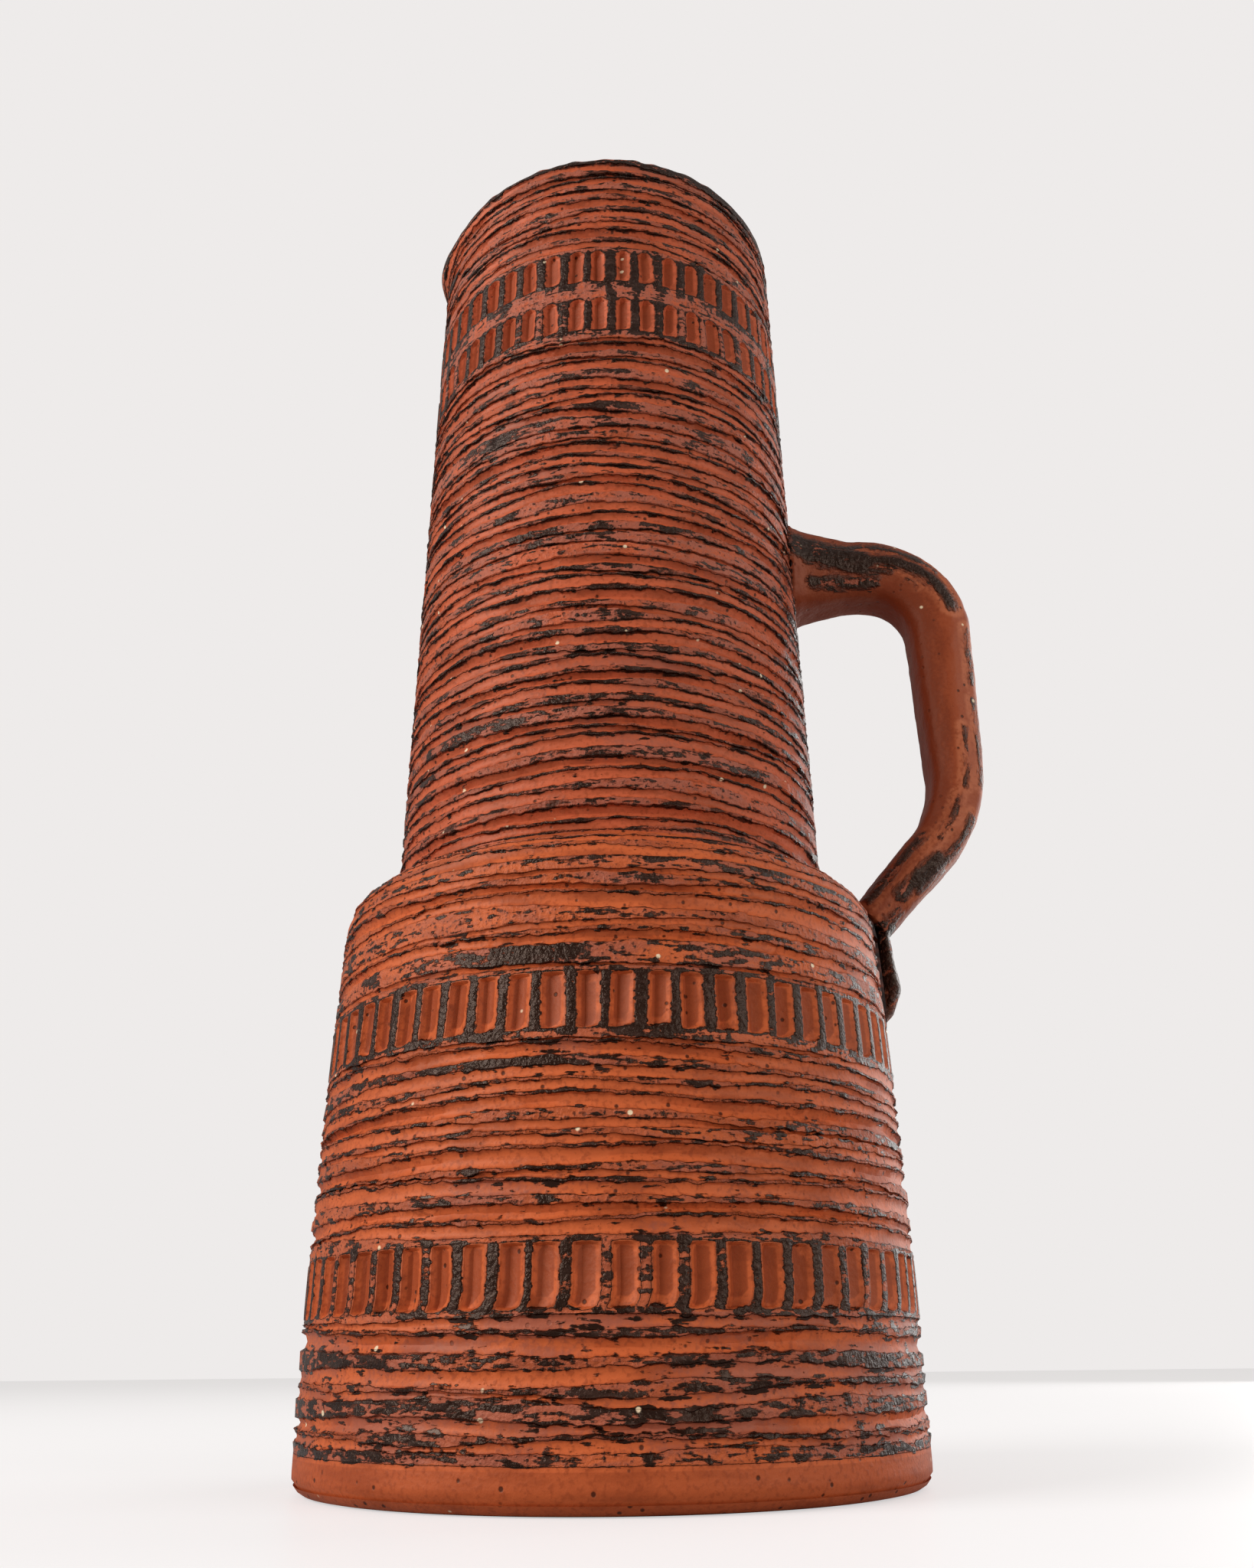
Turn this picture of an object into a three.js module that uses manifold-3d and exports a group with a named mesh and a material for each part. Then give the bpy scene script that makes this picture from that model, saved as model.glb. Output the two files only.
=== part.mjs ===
// A tall thrown vase with a strap handle and a small pouring lip.
// The lower body and the neck are thrown apart, combed and stamped while leather hard,
// and luted together with slip. The pulled handle is luted on afterwards.
// Millimetres, +Z up, origin at the middle of the underside. The handle is at +X, the lip at -X.

import * as THREE from 'three';
import { mergeGeometries, mergeVertices } from 'three/addons/utils/BufferGeometryUtils.js';
import Module from 'manifold-3d';

const wasm = await Module();
wasm.setup();

// Lower body
const FOOT_RADIUS = 74.6;
const FOOT_EDGE = 4;
const BODY_BELLY = 1;
const SHOULDER_RADIUS = 72;
const BODY_HEIGHT = 141.5;
const SHOULDER_ROUND = 10;
const SHOULDER_RISE = 0.8;
const BODY_WALL = 7.5;
const FLOOR_THICKNESS = 9;
const FLOOR_FILLET = 8;
const LEDGE_THICKNESS = 7;
const INNER_SHOULDER_DROP = 12;

// Gallery in the shoulder, which takes the foot of the neck
const GALLERY_DEPTH = 4;
const GALLERY_CLEARANCE = 0.4;

// Neck
const NECK_FOOT_RADIUS = 59;
const NECK_RIM_RADIUS = 55.4;
const NECK_HEIGHT = 233.5;
const NECK_WALL = 6.5;
const RIM_WALL = 5;
const RIM_ROUND = 1.8;

// Pouring lip, pulled out of the rim opposite the handle
const LIP_REACH = 3.4;
const LIP_HEIGHT = 8;
const LIP_SPREAD = 16;
const LIP_RINGS = 2;

// Handle: a strap that leaves the neck level, turns down, and slants in to the shoulder
const HANDLE_WIDTH = 22;
const HANDLE_TOP_THICKNESS = 22.2;
const HANDLE_END_THICKNESS = 12.2;
const HANDLE_SQUARENESS = 2.8;
const HANDLE_HEIGHT = 111.3;
const HANDLE_REACH = 44.3;
const HANDLE_BEND = 22;
const HANDLE_ELBOW = 40;
const HANDLE_SLANT = 42;
const LANDING_OUT = 3.8;
const ROOT_WIDTH = 26;
const ROOT_THICKNESS = 27;
const ROOT_LENGTH = 20;

// Tail of the handle, pressed down on the wall below the shoulder
const TAIL_TOP = 7;
const TAIL_DROP = 34;
const TAIL_WIDTH = 17;
const TAIL_THICKNESS = 6;

// Luting slip
const SLIP_THICKNESS = 1;
const SLIP_PROUD = 0.8;
const SEAM_GAP = 0.3;

// Stamped flutes: how many go round, and the middle of each band above the foot or below the rim
const STAMP_WIDTH = 5.3;
const STAMP_HEIGHT = 12.6;
const STAMP_DEPTH = 1.6;
const BAND_MARGIN = 0.7;
const BODY_FLUTES = 60;
const NECK_FLUTES = 49;
const BODY_BANDS_ABOVE = [42.4, 98.6];
const NECK_BANDS_BELOW = [65.7, 46.6];

// Main grooves of the combing, one to every three of the real lines, and the plain heights beside them
const COMB_PITCH = 12;
const COMB_DEPTH = 1;
const PLAIN_FOOT = 9;
const PLAIN_NECK = 2;
const PLAIN_RIM = 14;

// Smoothness of the facets, and the distances within which corners are one and facets are level
const ARC_STEPS = 2;
const STRAP_SIDES = 14;
const STRAP_STEP = 6;
const TAIL_TIP_STEPS = 3;
const SAME_CORNER = 1e-3;
const SAME_LEVEL = 1e-2;

// Heights and radii that follow from the sizes above
const GALLERY_FLOOR = BODY_HEIGHT - GALLERY_DEPTH;
const NECK_FOOT = GALLERY_FLOOR + SEAM_GAP + SLIP_THICKNESS + SEAM_GAP;
const RIM_HEIGHT = BODY_HEIGHT + NECK_HEIGHT;
const GALLERY_RADIUS = NECK_FOOT_RADIUS + GALLERY_CLEARANCE;
const MOUTH_RADIUS = NECK_FOOT_RADIUS - NECK_WALL;
const SHOULDER_START = BODY_HEIGHT - SHOULDER_RISE - SHOULDER_ROUND;
const BAND_HALF = STAMP_HEIGHT / 2 + BAND_MARGIN;

const QUARTER = Math.PI / 2;
const radians = THREE.MathUtils.degToRad;

// Radius of the outside of the lower body's wall at a height
function bodyRadius(z) {
  const belly = BODY_BELLY * Math.sin((Math.PI * z) / SHOULDER_START);
  return belly + THREE.MathUtils.mapLinear(z, 0, SHOULDER_START, FOOT_RADIUS, SHOULDER_RADIUS);
}

// Radius of the outside of the neck at a height
function neckRadius(z) {
  return THREE.MathUtils.mapLinear(z, NECK_FOOT, RIM_HEIGHT, NECK_FOOT_RADIUS, NECK_RIM_RADIUS);
}

// Solid of revolution about Z from a path of radius and height, outside first.
// A wall has one facet for each flute of its bands, so that every stamp lies in a flat facet.
function revolve(path, sides) {
  const geometry = new THREE.LatheGeometry(path.getPoints(ARC_STEPS), sides);
  geometry.rotateX(QUARTER);
  geometry.rotateZ(QUARTER);
  return geometry;
}

// Adds the main ribs of the combing to an outline, with a groove above each, between two heights
function comb(path, radiusAt, low, high) {
  const count = Math.round((high - low) / COMB_PITCH);
  const step = (high - low) / count;
  for (let i = 0; i < count; i += 1) {
    const rib = low + step * i;
    const groove = rib + step / 2;
    path.lineTo(radiusAt(rib), rib);
    path.lineTo(radiusAt(groove) - COMB_DEPTH, groove);
  }
}

// A closed geometry as a solid that can be joined and cut
function solidOf(geometry) {
  const bare = new THREE.BufferGeometry();
  bare.setAttribute('position', geometry.getAttribute('position'));
  bare.setIndex(geometry.getIndex());
  const merged = mergeVertices(bare, SAME_CORNER);
  return new wasm.Manifold(new wasm.Mesh({
    numProp: 3,
    vertProperties: new Float32Array(merged.getAttribute('position').array),
    triVerts: new Uint32Array(merged.getIndex().array),
  }));
}

// A solid back as a geometry, without the facets that lie level with their neighbours
function geometryOf(solid) {
  const { vertProperties, triVerts } = solid.simplify(SAME_LEVEL).getMesh();
  const geometry = new THREE.BufferGeometry();
  geometry.setAttribute('position', new THREE.BufferAttribute(vertProperties, 3));
  geometry.setIndex(new THREE.BufferAttribute(triVerts, 1));
  geometry.computeVertexNormals();
  return geometry;
}

// Outline of the lower body, from the middle of the underside round to the middle of the floor
function bodyOutline() {
  const innerFoot = FOOT_RADIUS - BODY_WALL;
  const innerShoulder = SHOULDER_RADIUS - BODY_WALL;
  const ledgeUnder = GALLERY_FLOOR - LEDGE_THICKNESS;
  const path = new THREE.Path();
  path.moveTo(0, 0);
  path.lineTo(FOOT_RADIUS - FOOT_EDGE, 0);
  path.absarc(FOOT_RADIUS - FOOT_EDGE, FOOT_EDGE, FOOT_EDGE, -QUARTER, 0);
  let start = PLAIN_FOOT;
  for (const above of BODY_BANDS_ABOVE) {
    comb(path, bodyRadius, start, above - BAND_HALF);
    start = above + BAND_HALF;
    path.lineTo(bodyRadius(above - BAND_HALF), above - BAND_HALF);
    path.lineTo(bodyRadius(start), start);
  }
  comb(path, bodyRadius, start, SHOULDER_START);
  path.absarc(SHOULDER_RADIUS - SHOULDER_ROUND, SHOULDER_START, SHOULDER_ROUND, 0, QUARTER);
  path.lineTo(GALLERY_RADIUS, BODY_HEIGHT);
  path.lineTo(GALLERY_RADIUS, GALLERY_FLOOR);
  path.lineTo(MOUTH_RADIUS, GALLERY_FLOOR);
  path.lineTo(MOUTH_RADIUS, ledgeUnder);
  path.absellipse(MOUTH_RADIUS, ledgeUnder - INNER_SHOULDER_DROP, innerShoulder - MOUTH_RADIUS,
    INNER_SHOULDER_DROP, QUARTER, 0, true);
  path.absarc(innerFoot - FLOOR_FILLET, FLOOR_THICKNESS + FLOOR_FILLET, FLOOR_FILLET, 0, -QUARTER, true);
  path.lineTo(0, FLOOR_THICKNESS);
  return path;
}

// The lower body's outside, grown by a margin, as a solid that cuts what seats on it
function bodyEnvelope(margin) {
  const path = new THREE.Path();
  path.moveTo(0, 0);
  path.lineTo(FOOT_RADIUS + margin, 0);
  for (const above of BODY_BANDS_ABOVE) {
    path.lineTo(bodyRadius(above - BAND_HALF) + margin, above - BAND_HALF);
    path.lineTo(bodyRadius(above + BAND_HALF) + margin, above + BAND_HALF);
  }
  path.absarc(SHOULDER_RADIUS - SHOULDER_ROUND, SHOULDER_START, SHOULDER_ROUND + margin, 0, QUARTER);
  path.lineTo(GALLERY_RADIUS, BODY_HEIGHT + margin);
  path.lineTo(0, BODY_HEIGHT + margin);
  return solidOf(revolve(path, BODY_FLUTES));
}

// Outline of the neck, up the outside, over the rim and down the inside
function neckOutline() {
  const innerRim = NECK_RIM_RADIUS - RIM_WALL;
  const path = new THREE.Path();
  path.moveTo(NECK_FOOT_RADIUS, NECK_FOOT);
  let start = BODY_HEIGHT + PLAIN_NECK;
  for (const below of NECK_BANDS_BELOW) {
    const middle = RIM_HEIGHT - below;
    comb(path, neckRadius, start, middle - BAND_HALF);
    start = middle + BAND_HALF;
    path.lineTo(neckRadius(middle - BAND_HALF), middle - BAND_HALF);
    path.lineTo(neckRadius(start), start);
  }
  comb(path, neckRadius, start, RIM_HEIGHT - PLAIN_RIM);
  path.lineTo(neckRadius(RIM_HEIGHT - PLAIN_RIM), RIM_HEIGHT - PLAIN_RIM);
  for (let ring = 0; ring < LIP_RINGS; ring += 1) {
    const z = RIM_HEIGHT - LIP_HEIGHT * (1 - ring / LIP_RINGS);
    path.lineTo(neckRadius(z), z);
  }
  path.absarc(NECK_RIM_RADIUS - RIM_ROUND, RIM_HEIGHT - RIM_ROUND, RIM_ROUND, 0, QUARTER);
  path.absarc(innerRim + RIM_ROUND, RIM_HEIGHT - RIM_ROUND, RIM_ROUND, QUARTER, 2 * QUARTER);
  for (let ring = LIP_RINGS - 1; ring >= 0; ring -= 1) {
    const z = RIM_HEIGHT - LIP_HEIGHT * (1 - ring / LIP_RINGS);
    path.lineTo(THREE.MathUtils.mapLinear(z, NECK_FOOT, RIM_HEIGHT, MOUTH_RADIUS, innerRim), z);
  }
  path.lineTo(MOUTH_RADIUS, NECK_FOOT);
  path.lineTo(NECK_FOOT_RADIUS, NECK_FOOT);
  return path;
}

// The neck's outside, grown by a margin, as a solid that cuts what seats on it
function neckEnvelope(margin) {
  const path = new THREE.Path();
  path.moveTo(0, NECK_FOOT);
  path.lineTo(NECK_FOOT_RADIUS + margin, NECK_FOOT);
  path.lineTo(NECK_RIM_RADIUS + margin, RIM_HEIGHT);
  path.lineTo(0, RIM_HEIGHT);
  return solidOf(revolve(path, NECK_FLUTES));
}

// Pulls the rim outwards at -X, fading down the wall and round to both sides
function pullLip(geometry) {
  const position = geometry.getAttribute('position');
  const point = new THREE.Vector3();
  for (let i = 0; i < position.count; i += 1) {
    point.fromBufferAttribute(position, i);
    const rise = THREE.MathUtils.smoothstep(point.z, RIM_HEIGHT - LIP_HEIGHT, RIM_HEIGHT);
    const turn = Math.atan2(point.y, -point.x) / radians(LIP_SPREAD);
    const pull = LIP_REACH * rise * Math.exp(-turn * turn);
    const radius = Math.hypot(point.x, point.y);
    const grown = (radius + pull) / radius;
    position.setXYZ(i, point.x * grown, point.y * grown, point.z);
  }
}

// One row of stamps round the wall, in the middle of its facets: long wells of V section
function stampRow(radius, middle, count) {
  const section = new THREE.Shape();
  section.moveTo(-STAMP_DEPTH, 0);
  section.lineTo(STAMP_DEPTH, -STAMP_WIDTH);
  section.lineTo(STAMP_DEPTH, STAMP_WIDTH);
  const stamp = new THREE.ExtrudeGeometry(section, { depth: STAMP_HEIGHT, bevelEnabled: false });
  stamp.translate(radius * Math.cos(Math.PI / count), 0, middle - STAMP_HEIGHT / 2);
  const row = [];
  for (let i = 0; i < count; i += 1) {
    row.push(stamp.clone().rotateZ((2 * Math.PI * (i + 0.5)) / count));
  }
  return solidOf(mergeGeometries(row));
}

// Middle line of the strap in the plane of radius and height
function strapLine() {
  const top = BODY_HEIGHT + HANDLE_HEIGHT;
  const wall = neckRadius(top);
  const run = wall + HANDLE_REACH;
  const slant = radians(HANDLE_SLANT);
  const landing = new THREE.Vector2(SHOULDER_RADIUS + LANDING_OUT, BODY_HEIGHT);
  const elbowEnd = run - HANDLE_ELBOW * (1 - Math.cos(slant));
  const elbowLow = landing.y + (elbowEnd - landing.x) / Math.tan(slant);
  const elbowTop = elbowLow + HANDLE_ELBOW * Math.sin(slant);
  const sunk = BODY_WALL / Math.cos(slant);
  const path = new THREE.Path();
  path.moveTo(wall - NECK_WALL, top);
  path.lineTo(run - HANDLE_BEND, top);
  path.absarc(run - HANDLE_BEND, top - HANDLE_BEND, HANDLE_BEND, QUARTER, 0, true);
  path.absarc(run - HANDLE_ELBOW, elbowTop, HANDLE_ELBOW, 0, -slant, true);
  path.lineTo(landing.x - sunk * Math.sin(slant), landing.y - sunk * Math.cos(slant));
  return path;
}

// A strap along its middle line: rounded oblong sections that grow towards the upper root.
// Proud is what each side stands out further, and the stretch runs from the neck as far as asked.
function strap(proud, stretch = Infinity) {
  const line = strapLine();
  const whole = line.getLength();
  const part = Math.min(stretch / whole, 1);
  const steps = Math.ceil((part * whole) / STRAP_STEP);
  const corners = [];
  const faces = [];
  const power = 2 / HANDLE_SQUARENESS;
  for (let step = 0; step <= steps; step += 1) {
    const share = (part * step) / steps;
    const middle = line.getPoint(share);
    const heading = line.getTangent(share);
    const root = 1 - THREE.MathUtils.smoothstep(share * whole, NECK_WALL, NECK_WALL + ROOT_LENGTH);
    const wide = THREE.MathUtils.lerp(HANDLE_WIDTH, ROOT_WIDTH, root) / 2 + proud;
    const taper = THREE.MathUtils.lerp(HANDLE_TOP_THICKNESS, HANDLE_END_THICKNESS, share);
    const thick = THREE.MathUtils.lerp(taper, ROOT_THICKNESS, root) / 2 + proud;
    for (let side = 0; side < STRAP_SIDES; side += 1) {
      const turn = (2 * Math.PI * side) / STRAP_SIDES;
      const across = wide * Math.sign(Math.sin(turn)) * Math.abs(Math.sin(turn)) ** power;
      const out = thick * Math.sign(Math.cos(turn)) * Math.abs(Math.cos(turn)) ** power;
      corners.push(middle.x - heading.y * out, across, middle.y + heading.x * out);
    }
  }
  for (let step = 0; step < steps; step += 1) {
    for (let side = 0; side < STRAP_SIDES; side += 1) {
      const next = (side + 1) % STRAP_SIDES;
      const a = step * STRAP_SIDES + side;
      const b = step * STRAP_SIDES + next;
      faces.push(a, a + STRAP_SIDES, b, b, a + STRAP_SIDES, b + STRAP_SIDES);
    }
  }
  const last = steps * STRAP_SIDES;
  for (let side = 1; side < STRAP_SIDES - 1; side += 1) {
    faces.push(0, side, side + 1, last, last + side + 1, last + side);
  }
  const geometry = new THREE.BufferGeometry();
  geometry.setAttribute('position', new THREE.Float32BufferAttribute(corners, 3));
  geometry.setIndex(faces);
  return solidOf(geometry);
}

// The tail: a rounded pad, half of it sunk in the wall before the wall is cut away
function tail(proud) {
  const across = TAIL_WIDTH / 2 + proud;
  const low = BODY_HEIGHT - TAIL_DROP;
  const high = BODY_HEIGHT - TAIL_TOP;
  const pad = new THREE.CapsuleGeometry(across, high - low - TAIL_WIDTH, TAIL_TIP_STEPS, STRAP_SIDES);
  pad.rotateX(QUARTER);
  pad.scale((TAIL_THICKNESS + proud) / across, 1, 1);
  pad.translate(bodyRadius((low + high) / 2), 0, (low + high) / 2);
  return solidOf(pad);
}

function lowerBody() {
  let solid = solidOf(revolve(bodyOutline(), BODY_FLUTES));
  for (const above of BODY_BANDS_ABOVE) {
    solid = solid.subtract(stampRow(bodyRadius(above), above, BODY_FLUTES));
  }
  return geometryOf(solid);
}

function neck() {
  const tube = revolve(neckOutline(), NECK_FLUTES);
  pullLip(tube);
  let solid = solidOf(tube);
  for (const below of NECK_BANDS_BELOW) {
    const middle = RIM_HEIGHT - below;
    solid = solid.subtract(stampRow(neckRadius(middle), middle, NECK_FLUTES));
  }
  return geometryOf(solid);
}

function shoulderSeam() {
  const low = GALLERY_FLOOR + SEAM_GAP;
  const high = low + SLIP_THICKNESS;
  const path = new THREE.Path();
  path.moveTo(NECK_FOOT_RADIUS, low);
  path.lineTo(NECK_FOOT_RADIUS, high);
  path.lineTo(MOUTH_RADIUS, high);
  path.lineTo(MOUTH_RADIUS, low);
  path.lineTo(NECK_FOOT_RADIUS, low);
  return revolve(path, NECK_FLUTES);
}

const SEAT = SEAM_GAP + SLIP_THICKNESS + SEAM_GAP;
const SLIP_OUTSIDE = SEAM_GAP + SLIP_THICKNESS;

function handle() {
  const whole = strap(0).add(tail(0));
  return geometryOf(whole.subtract(neckEnvelope(SEAT)).subtract(bodyEnvelope(SEAT)));
}

function upperHandleSeam() {
  const root = strap(SLIP_PROUD, NECK_WALL + ROOT_LENGTH);
  return geometryOf(root.intersect(neckEnvelope(SLIP_OUTSIDE)).subtract(neckEnvelope(SEAM_GAP)));
}

function lowerHandleSeam() {
  const end = strap(SLIP_PROUD).add(tail(SLIP_PROUD));
  return geometryOf(end.intersect(bodyEnvelope(SLIP_OUTSIDE)).subtract(bodyEnvelope(SEAM_GAP)));
}

// Fired clay, matt where it is combed and smoother on the pulled handle, and satin black slip
const RED_CLAY = { color: 0xa44b2c, roughness: 0.75 };
const NECK_CLAY = { color: 0x8e4229, roughness: 0.7 };
const HANDLE_CLAY = { color: 0x8a432c, roughness: 0.65 };
const BLACK_SLIP = { color: 0x2e2624, roughness: 0.6 };

const vase = new THREE.Group();

function place(name, geometry, finish) {
  const mesh = new THREE.Mesh(geometry, new THREE.MeshStandardMaterial(finish));
  mesh.name = name;
  vase.add(mesh);
}

place('lower_body', lowerBody(), RED_CLAY);
place('neck', neck(), NECK_CLAY);
place('shoulder_seam', shoulderSeam(), BLACK_SLIP);
place('handle', handle(), HANDLE_CLAY);
place('upper_handle_seam', upperHandleSeam(), BLACK_SLIP);
place('lower_handle_seam', lowerHandleSeam(), BLACK_SLIP);

export default vase;
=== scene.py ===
"""A thrown, combed and stamped stoneware vase with a pulled handle, dressed over its solids."""

import math
from types import SimpleNamespace

import bpy
import numpy as np
from bpy.props import FloatProperty, FloatVectorProperty, IntProperty, PointerProperty
from mathutils import Matrix, Vector


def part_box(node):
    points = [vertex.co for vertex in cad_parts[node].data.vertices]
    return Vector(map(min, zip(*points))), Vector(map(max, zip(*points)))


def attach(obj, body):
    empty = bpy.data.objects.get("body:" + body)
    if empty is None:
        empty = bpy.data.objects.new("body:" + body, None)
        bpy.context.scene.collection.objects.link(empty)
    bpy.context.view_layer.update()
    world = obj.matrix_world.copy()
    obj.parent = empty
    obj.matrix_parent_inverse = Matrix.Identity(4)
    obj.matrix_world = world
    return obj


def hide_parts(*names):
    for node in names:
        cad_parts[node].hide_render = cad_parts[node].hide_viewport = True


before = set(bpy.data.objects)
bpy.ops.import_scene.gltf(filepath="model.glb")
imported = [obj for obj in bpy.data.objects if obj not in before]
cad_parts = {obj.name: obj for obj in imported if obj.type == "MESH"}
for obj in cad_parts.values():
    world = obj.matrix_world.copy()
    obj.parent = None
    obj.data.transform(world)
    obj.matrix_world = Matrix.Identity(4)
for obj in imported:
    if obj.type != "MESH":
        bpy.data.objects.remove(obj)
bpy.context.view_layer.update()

bl_info = {
    "name": "Combed Stoneware Vase",
    "version": (1, 0, 0),
    "blender": (4, 5, 0),
    "location": "View3D > Sidebar > Vase",
    "description": "Models a thrown, combed and stamped vase with a pulled handle, and its stage",
    "category": "Add Mesh",
}

MM = 0.001
TURN = 2 * math.pi
SEED = 20
SHARP = math.radians(38)
WELD = 0.001 * MM

# Columns of a stamp: the middle of the land on its left, then its well from side to side, as
# shares of the well's width, and how deep the well is there
STAMP_COLUMNS = 7
WELL_PLACES = np.array((0.0, 0.06, 0.3, 0.62, 0.94, 1.0))
WELL_DEPTHS = np.array((0.0, 0.4, 1.0, 0.7, 0.16, 0.0))

# Rows of a stamped band, as shares of its height, how deep the stamp goes in each, the share that
# is rounded off at each end, the haze on it, and how far its stamps pull the wall beside it
BAND_ROWS = np.array((0.0, 0.04, 0.13, 0.28, 0.5, 0.72, 0.87, 0.96, 1.0))
BAND_PRESS = np.array((0.0, 0.85, 0.97, 1.0, 1.0, 1.0, 0.97, 0.85, 0.0))
BAND_END = 0.3
BAND_HAZE = -2.0
BAND_PULL = 3 * MM

# Spread of the stamps' places and lean, as shares of the pitch, ranges of their widths and depths,
# mean and spread of their slant in mm, and limits of the slip on the lands
STAMP_SPREAD = 0.025
STAMP_LEAN = 0.02
STAMP_WIDTHS = (0.93, 1.06)
STAMP_DEPTHS = (0.85, 1.12)
STAMP_SLANT = (0.15, 0.25)
LAND_INKS = (-0.2, 1.6)

# Crumbs of slip at the ends of stamps: ranges of their half heights and half widths in mm, spread
# of their places in mm along the wall and in columns round it, how far out they reach and are
# inked, in half sizes, how far rows may waver into their reach, their slip and how it thins
# outwards, and how far they stand out, in half heights
CRUMB_HEIGHTS = (0.45, 0.9)
CRUMB_WIDTHS = (0.8, 1.9)
CRUMB_SPREAD = 0.25
CRUMB_ASIDE = 0.7
CRUMB_REACH = 1.6
CRUMB_INKED = 1.3
CRUMB_SLACK = 1 * MM
CRUMB_INK = 1.2
CRUMB_THINS = 0.4
CRUMB_STANDS = 0.45

# Teeth of the comb to a pitch, the shape across a groove as shares of its width and of its depth,
# the spread of the grooves' places in steps, ranges of their heights and depths, limits of the
# depth along them and of how side grooves close up, the least height between two edges and below
# the last one, and the mean and the most of the burr on an edge
TEETH = 3
GROOVE_SHAPE = ((0.15, 0.6), (0.5, 1.0), (0.85, 0.6))
GROOVE_SPREAD = 0.17
GROOVE_HEIGHTS = (0.75, 1.2)
GROOVE_DEPTHS = (0.85, 1.15)
DEPTH_LIMITS = (0.3, 1.4)
CLOSING_LIMITS = (0.3, 1.25)
EDGE_STEP = 0.45 * MM
LAST_STEP = 0.1 * MM
BURR_MEAN = 0.112 * MM
BURR_MOST = 0.4 * MM

# What the hand left uneven round a wall: the fewest and the most waves in a turn, and the swing
UNEVEN = {
    "ink": (1, 36, 0.45),
    "haze": (1, 14, 0.4),
    "closing": (1, 6, 0.3),
    "wander": (1, 7, 0.55 * MM),
    "edge": (6, 140, 0.17 * MM),
    "burr": (8, 140, 0.16 * MM),
    "depth": (1, 20, 0.2),
    "land": (1, 14, 0.5),
    "rim": (2, 70, 0.3 * MM),
}

# Marks: of a flat's edge and of the outer edges of a combed stretch, in mm, how much less slip
# there is on a stretch without grooves, how much less haze in a groove, and plain clay that
# nothing touched
EDGE_LIE = 0.05
OUTER_LIE = 1.0
BARE_STRETCH = 0.6
GROOVE_WIPED = 0.35
PLAIN = {"out": 0.0, "rise": 0.0, "turn": 0.0, "lie": -2.4, "ink": -1.5, "haze": -1.6}

# Rim: its rounding, where the inside has close rows below it and plain ones further down, in mm,
# its marks, and how much more slip and haze lie near it
RIM_ROUND = 1.8 * MM
BELOW_RIM = (4, 14, 40)
RIM_INK = 0.55
RIM_LIE = 1.5
NEAR_RIM = 4 * MM
NEAR_RIM_INK = 0.5
NEAR_RIM_HAZE = 1.2

# Shoulder: where its curve ends, and the fillet of slip round the neck, in mm out from the neck
# and up from the shoulder
SHOULDER_END = math.radians(86)
JOINT_FILLET = ((2.2, -0.3), (1.0, 0.5), (0.3, 1.6), (-0.4, 2.4))

# Plain lengths between the combing and the neck, at the shoulder's bend, under the lip and under
# the rim, and the depth of the lower body's side grooves as a share of the neck's
PLAIN_JOINT = 5.5 * MM
BEND_GAP = 1 * MM
LIP_GAP = 0.5 * MM
RIM_GAP = 0.8 * MM
BODY_SIDE_DEPTH = 0.75

# Inside of the lower body: the height of its mouth, the drop of its shoulder, the rounding of its
# floor, the clearance round the neck, and the gaps above and below its straight wall
MOUTH_HEIGHT = 7 * MM
INSIDE_DROP = 12 * MM
FLOOR_FILLET = 8 * MM
NECK_CLEARANCE = 0.4 * MM
ABOVE_STRAIGHT = 11.5 * MM
BELOW_STRAIGHT = 0.5 * MM

# Pulled strap: points along each edge of its section, weights that round its edges, shares of its
# width that its back and its inside have, the radius of the rod it starts as, and where the ridge
# down its side lies, in mm along the strap and out from its middle
STRAP_EDGE = 8
SOFT_EDGE = (1, 2, 3, 3, 3, 2, 1)
BACK_SHARE = 0.62
INSIDE_SHARE = 0.7
ROD_RADIUS = 8 * MM
RIDGE_PLACES = (0, 10, 45, 62, 80, 110, 165)
RIDGE_OUTS = (0.0, 0.5, 2.6, 1.6, 0.6, -0.4, -0.6)

# Course of the strap: the radii of its bend and its elbow, its slant below, how far out from the
# shoulder it lands, and how far its ends sink in the neck and in the shoulder
STRAP_BEND = 22 * MM
STRAP_ELBOW = 40 * MM
STRAP_SLANT = math.radians(42)
LANDING_OUT = 3.8 * MM
ROOT_SUNK = 3 * MM
END_SUNK = 6 * MM

# Upper root of the strap: how far its flare reaches, half its thickness at the wall, how much
# wider each side gets there, and the smear of clay on the wall
ROOT_REACH = 20 * MM
ROOT_HALF = 13.5 * MM
ROOT_WIDER = 2 * MM
ROOT_SMEAR = 2.4 * MM

# Tail, from top to tip, in mm: out from the shoulder's radius, below the shoulder, half its width
# and half its thickness
TAIL_COURSE = (
    (3.0, 2.0, 6.5, 2.2),
    (3.2, 7.5, 6.2, 1.8),
    (3.7, 15.5, 6.9, 2.2),
    (4.1, 22.5, 7.4, 3.2),
    (2.5, 28.5, 5.6, 2.4),
    (-0.4, 33.5, 2.8, 0.9),
)

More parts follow.
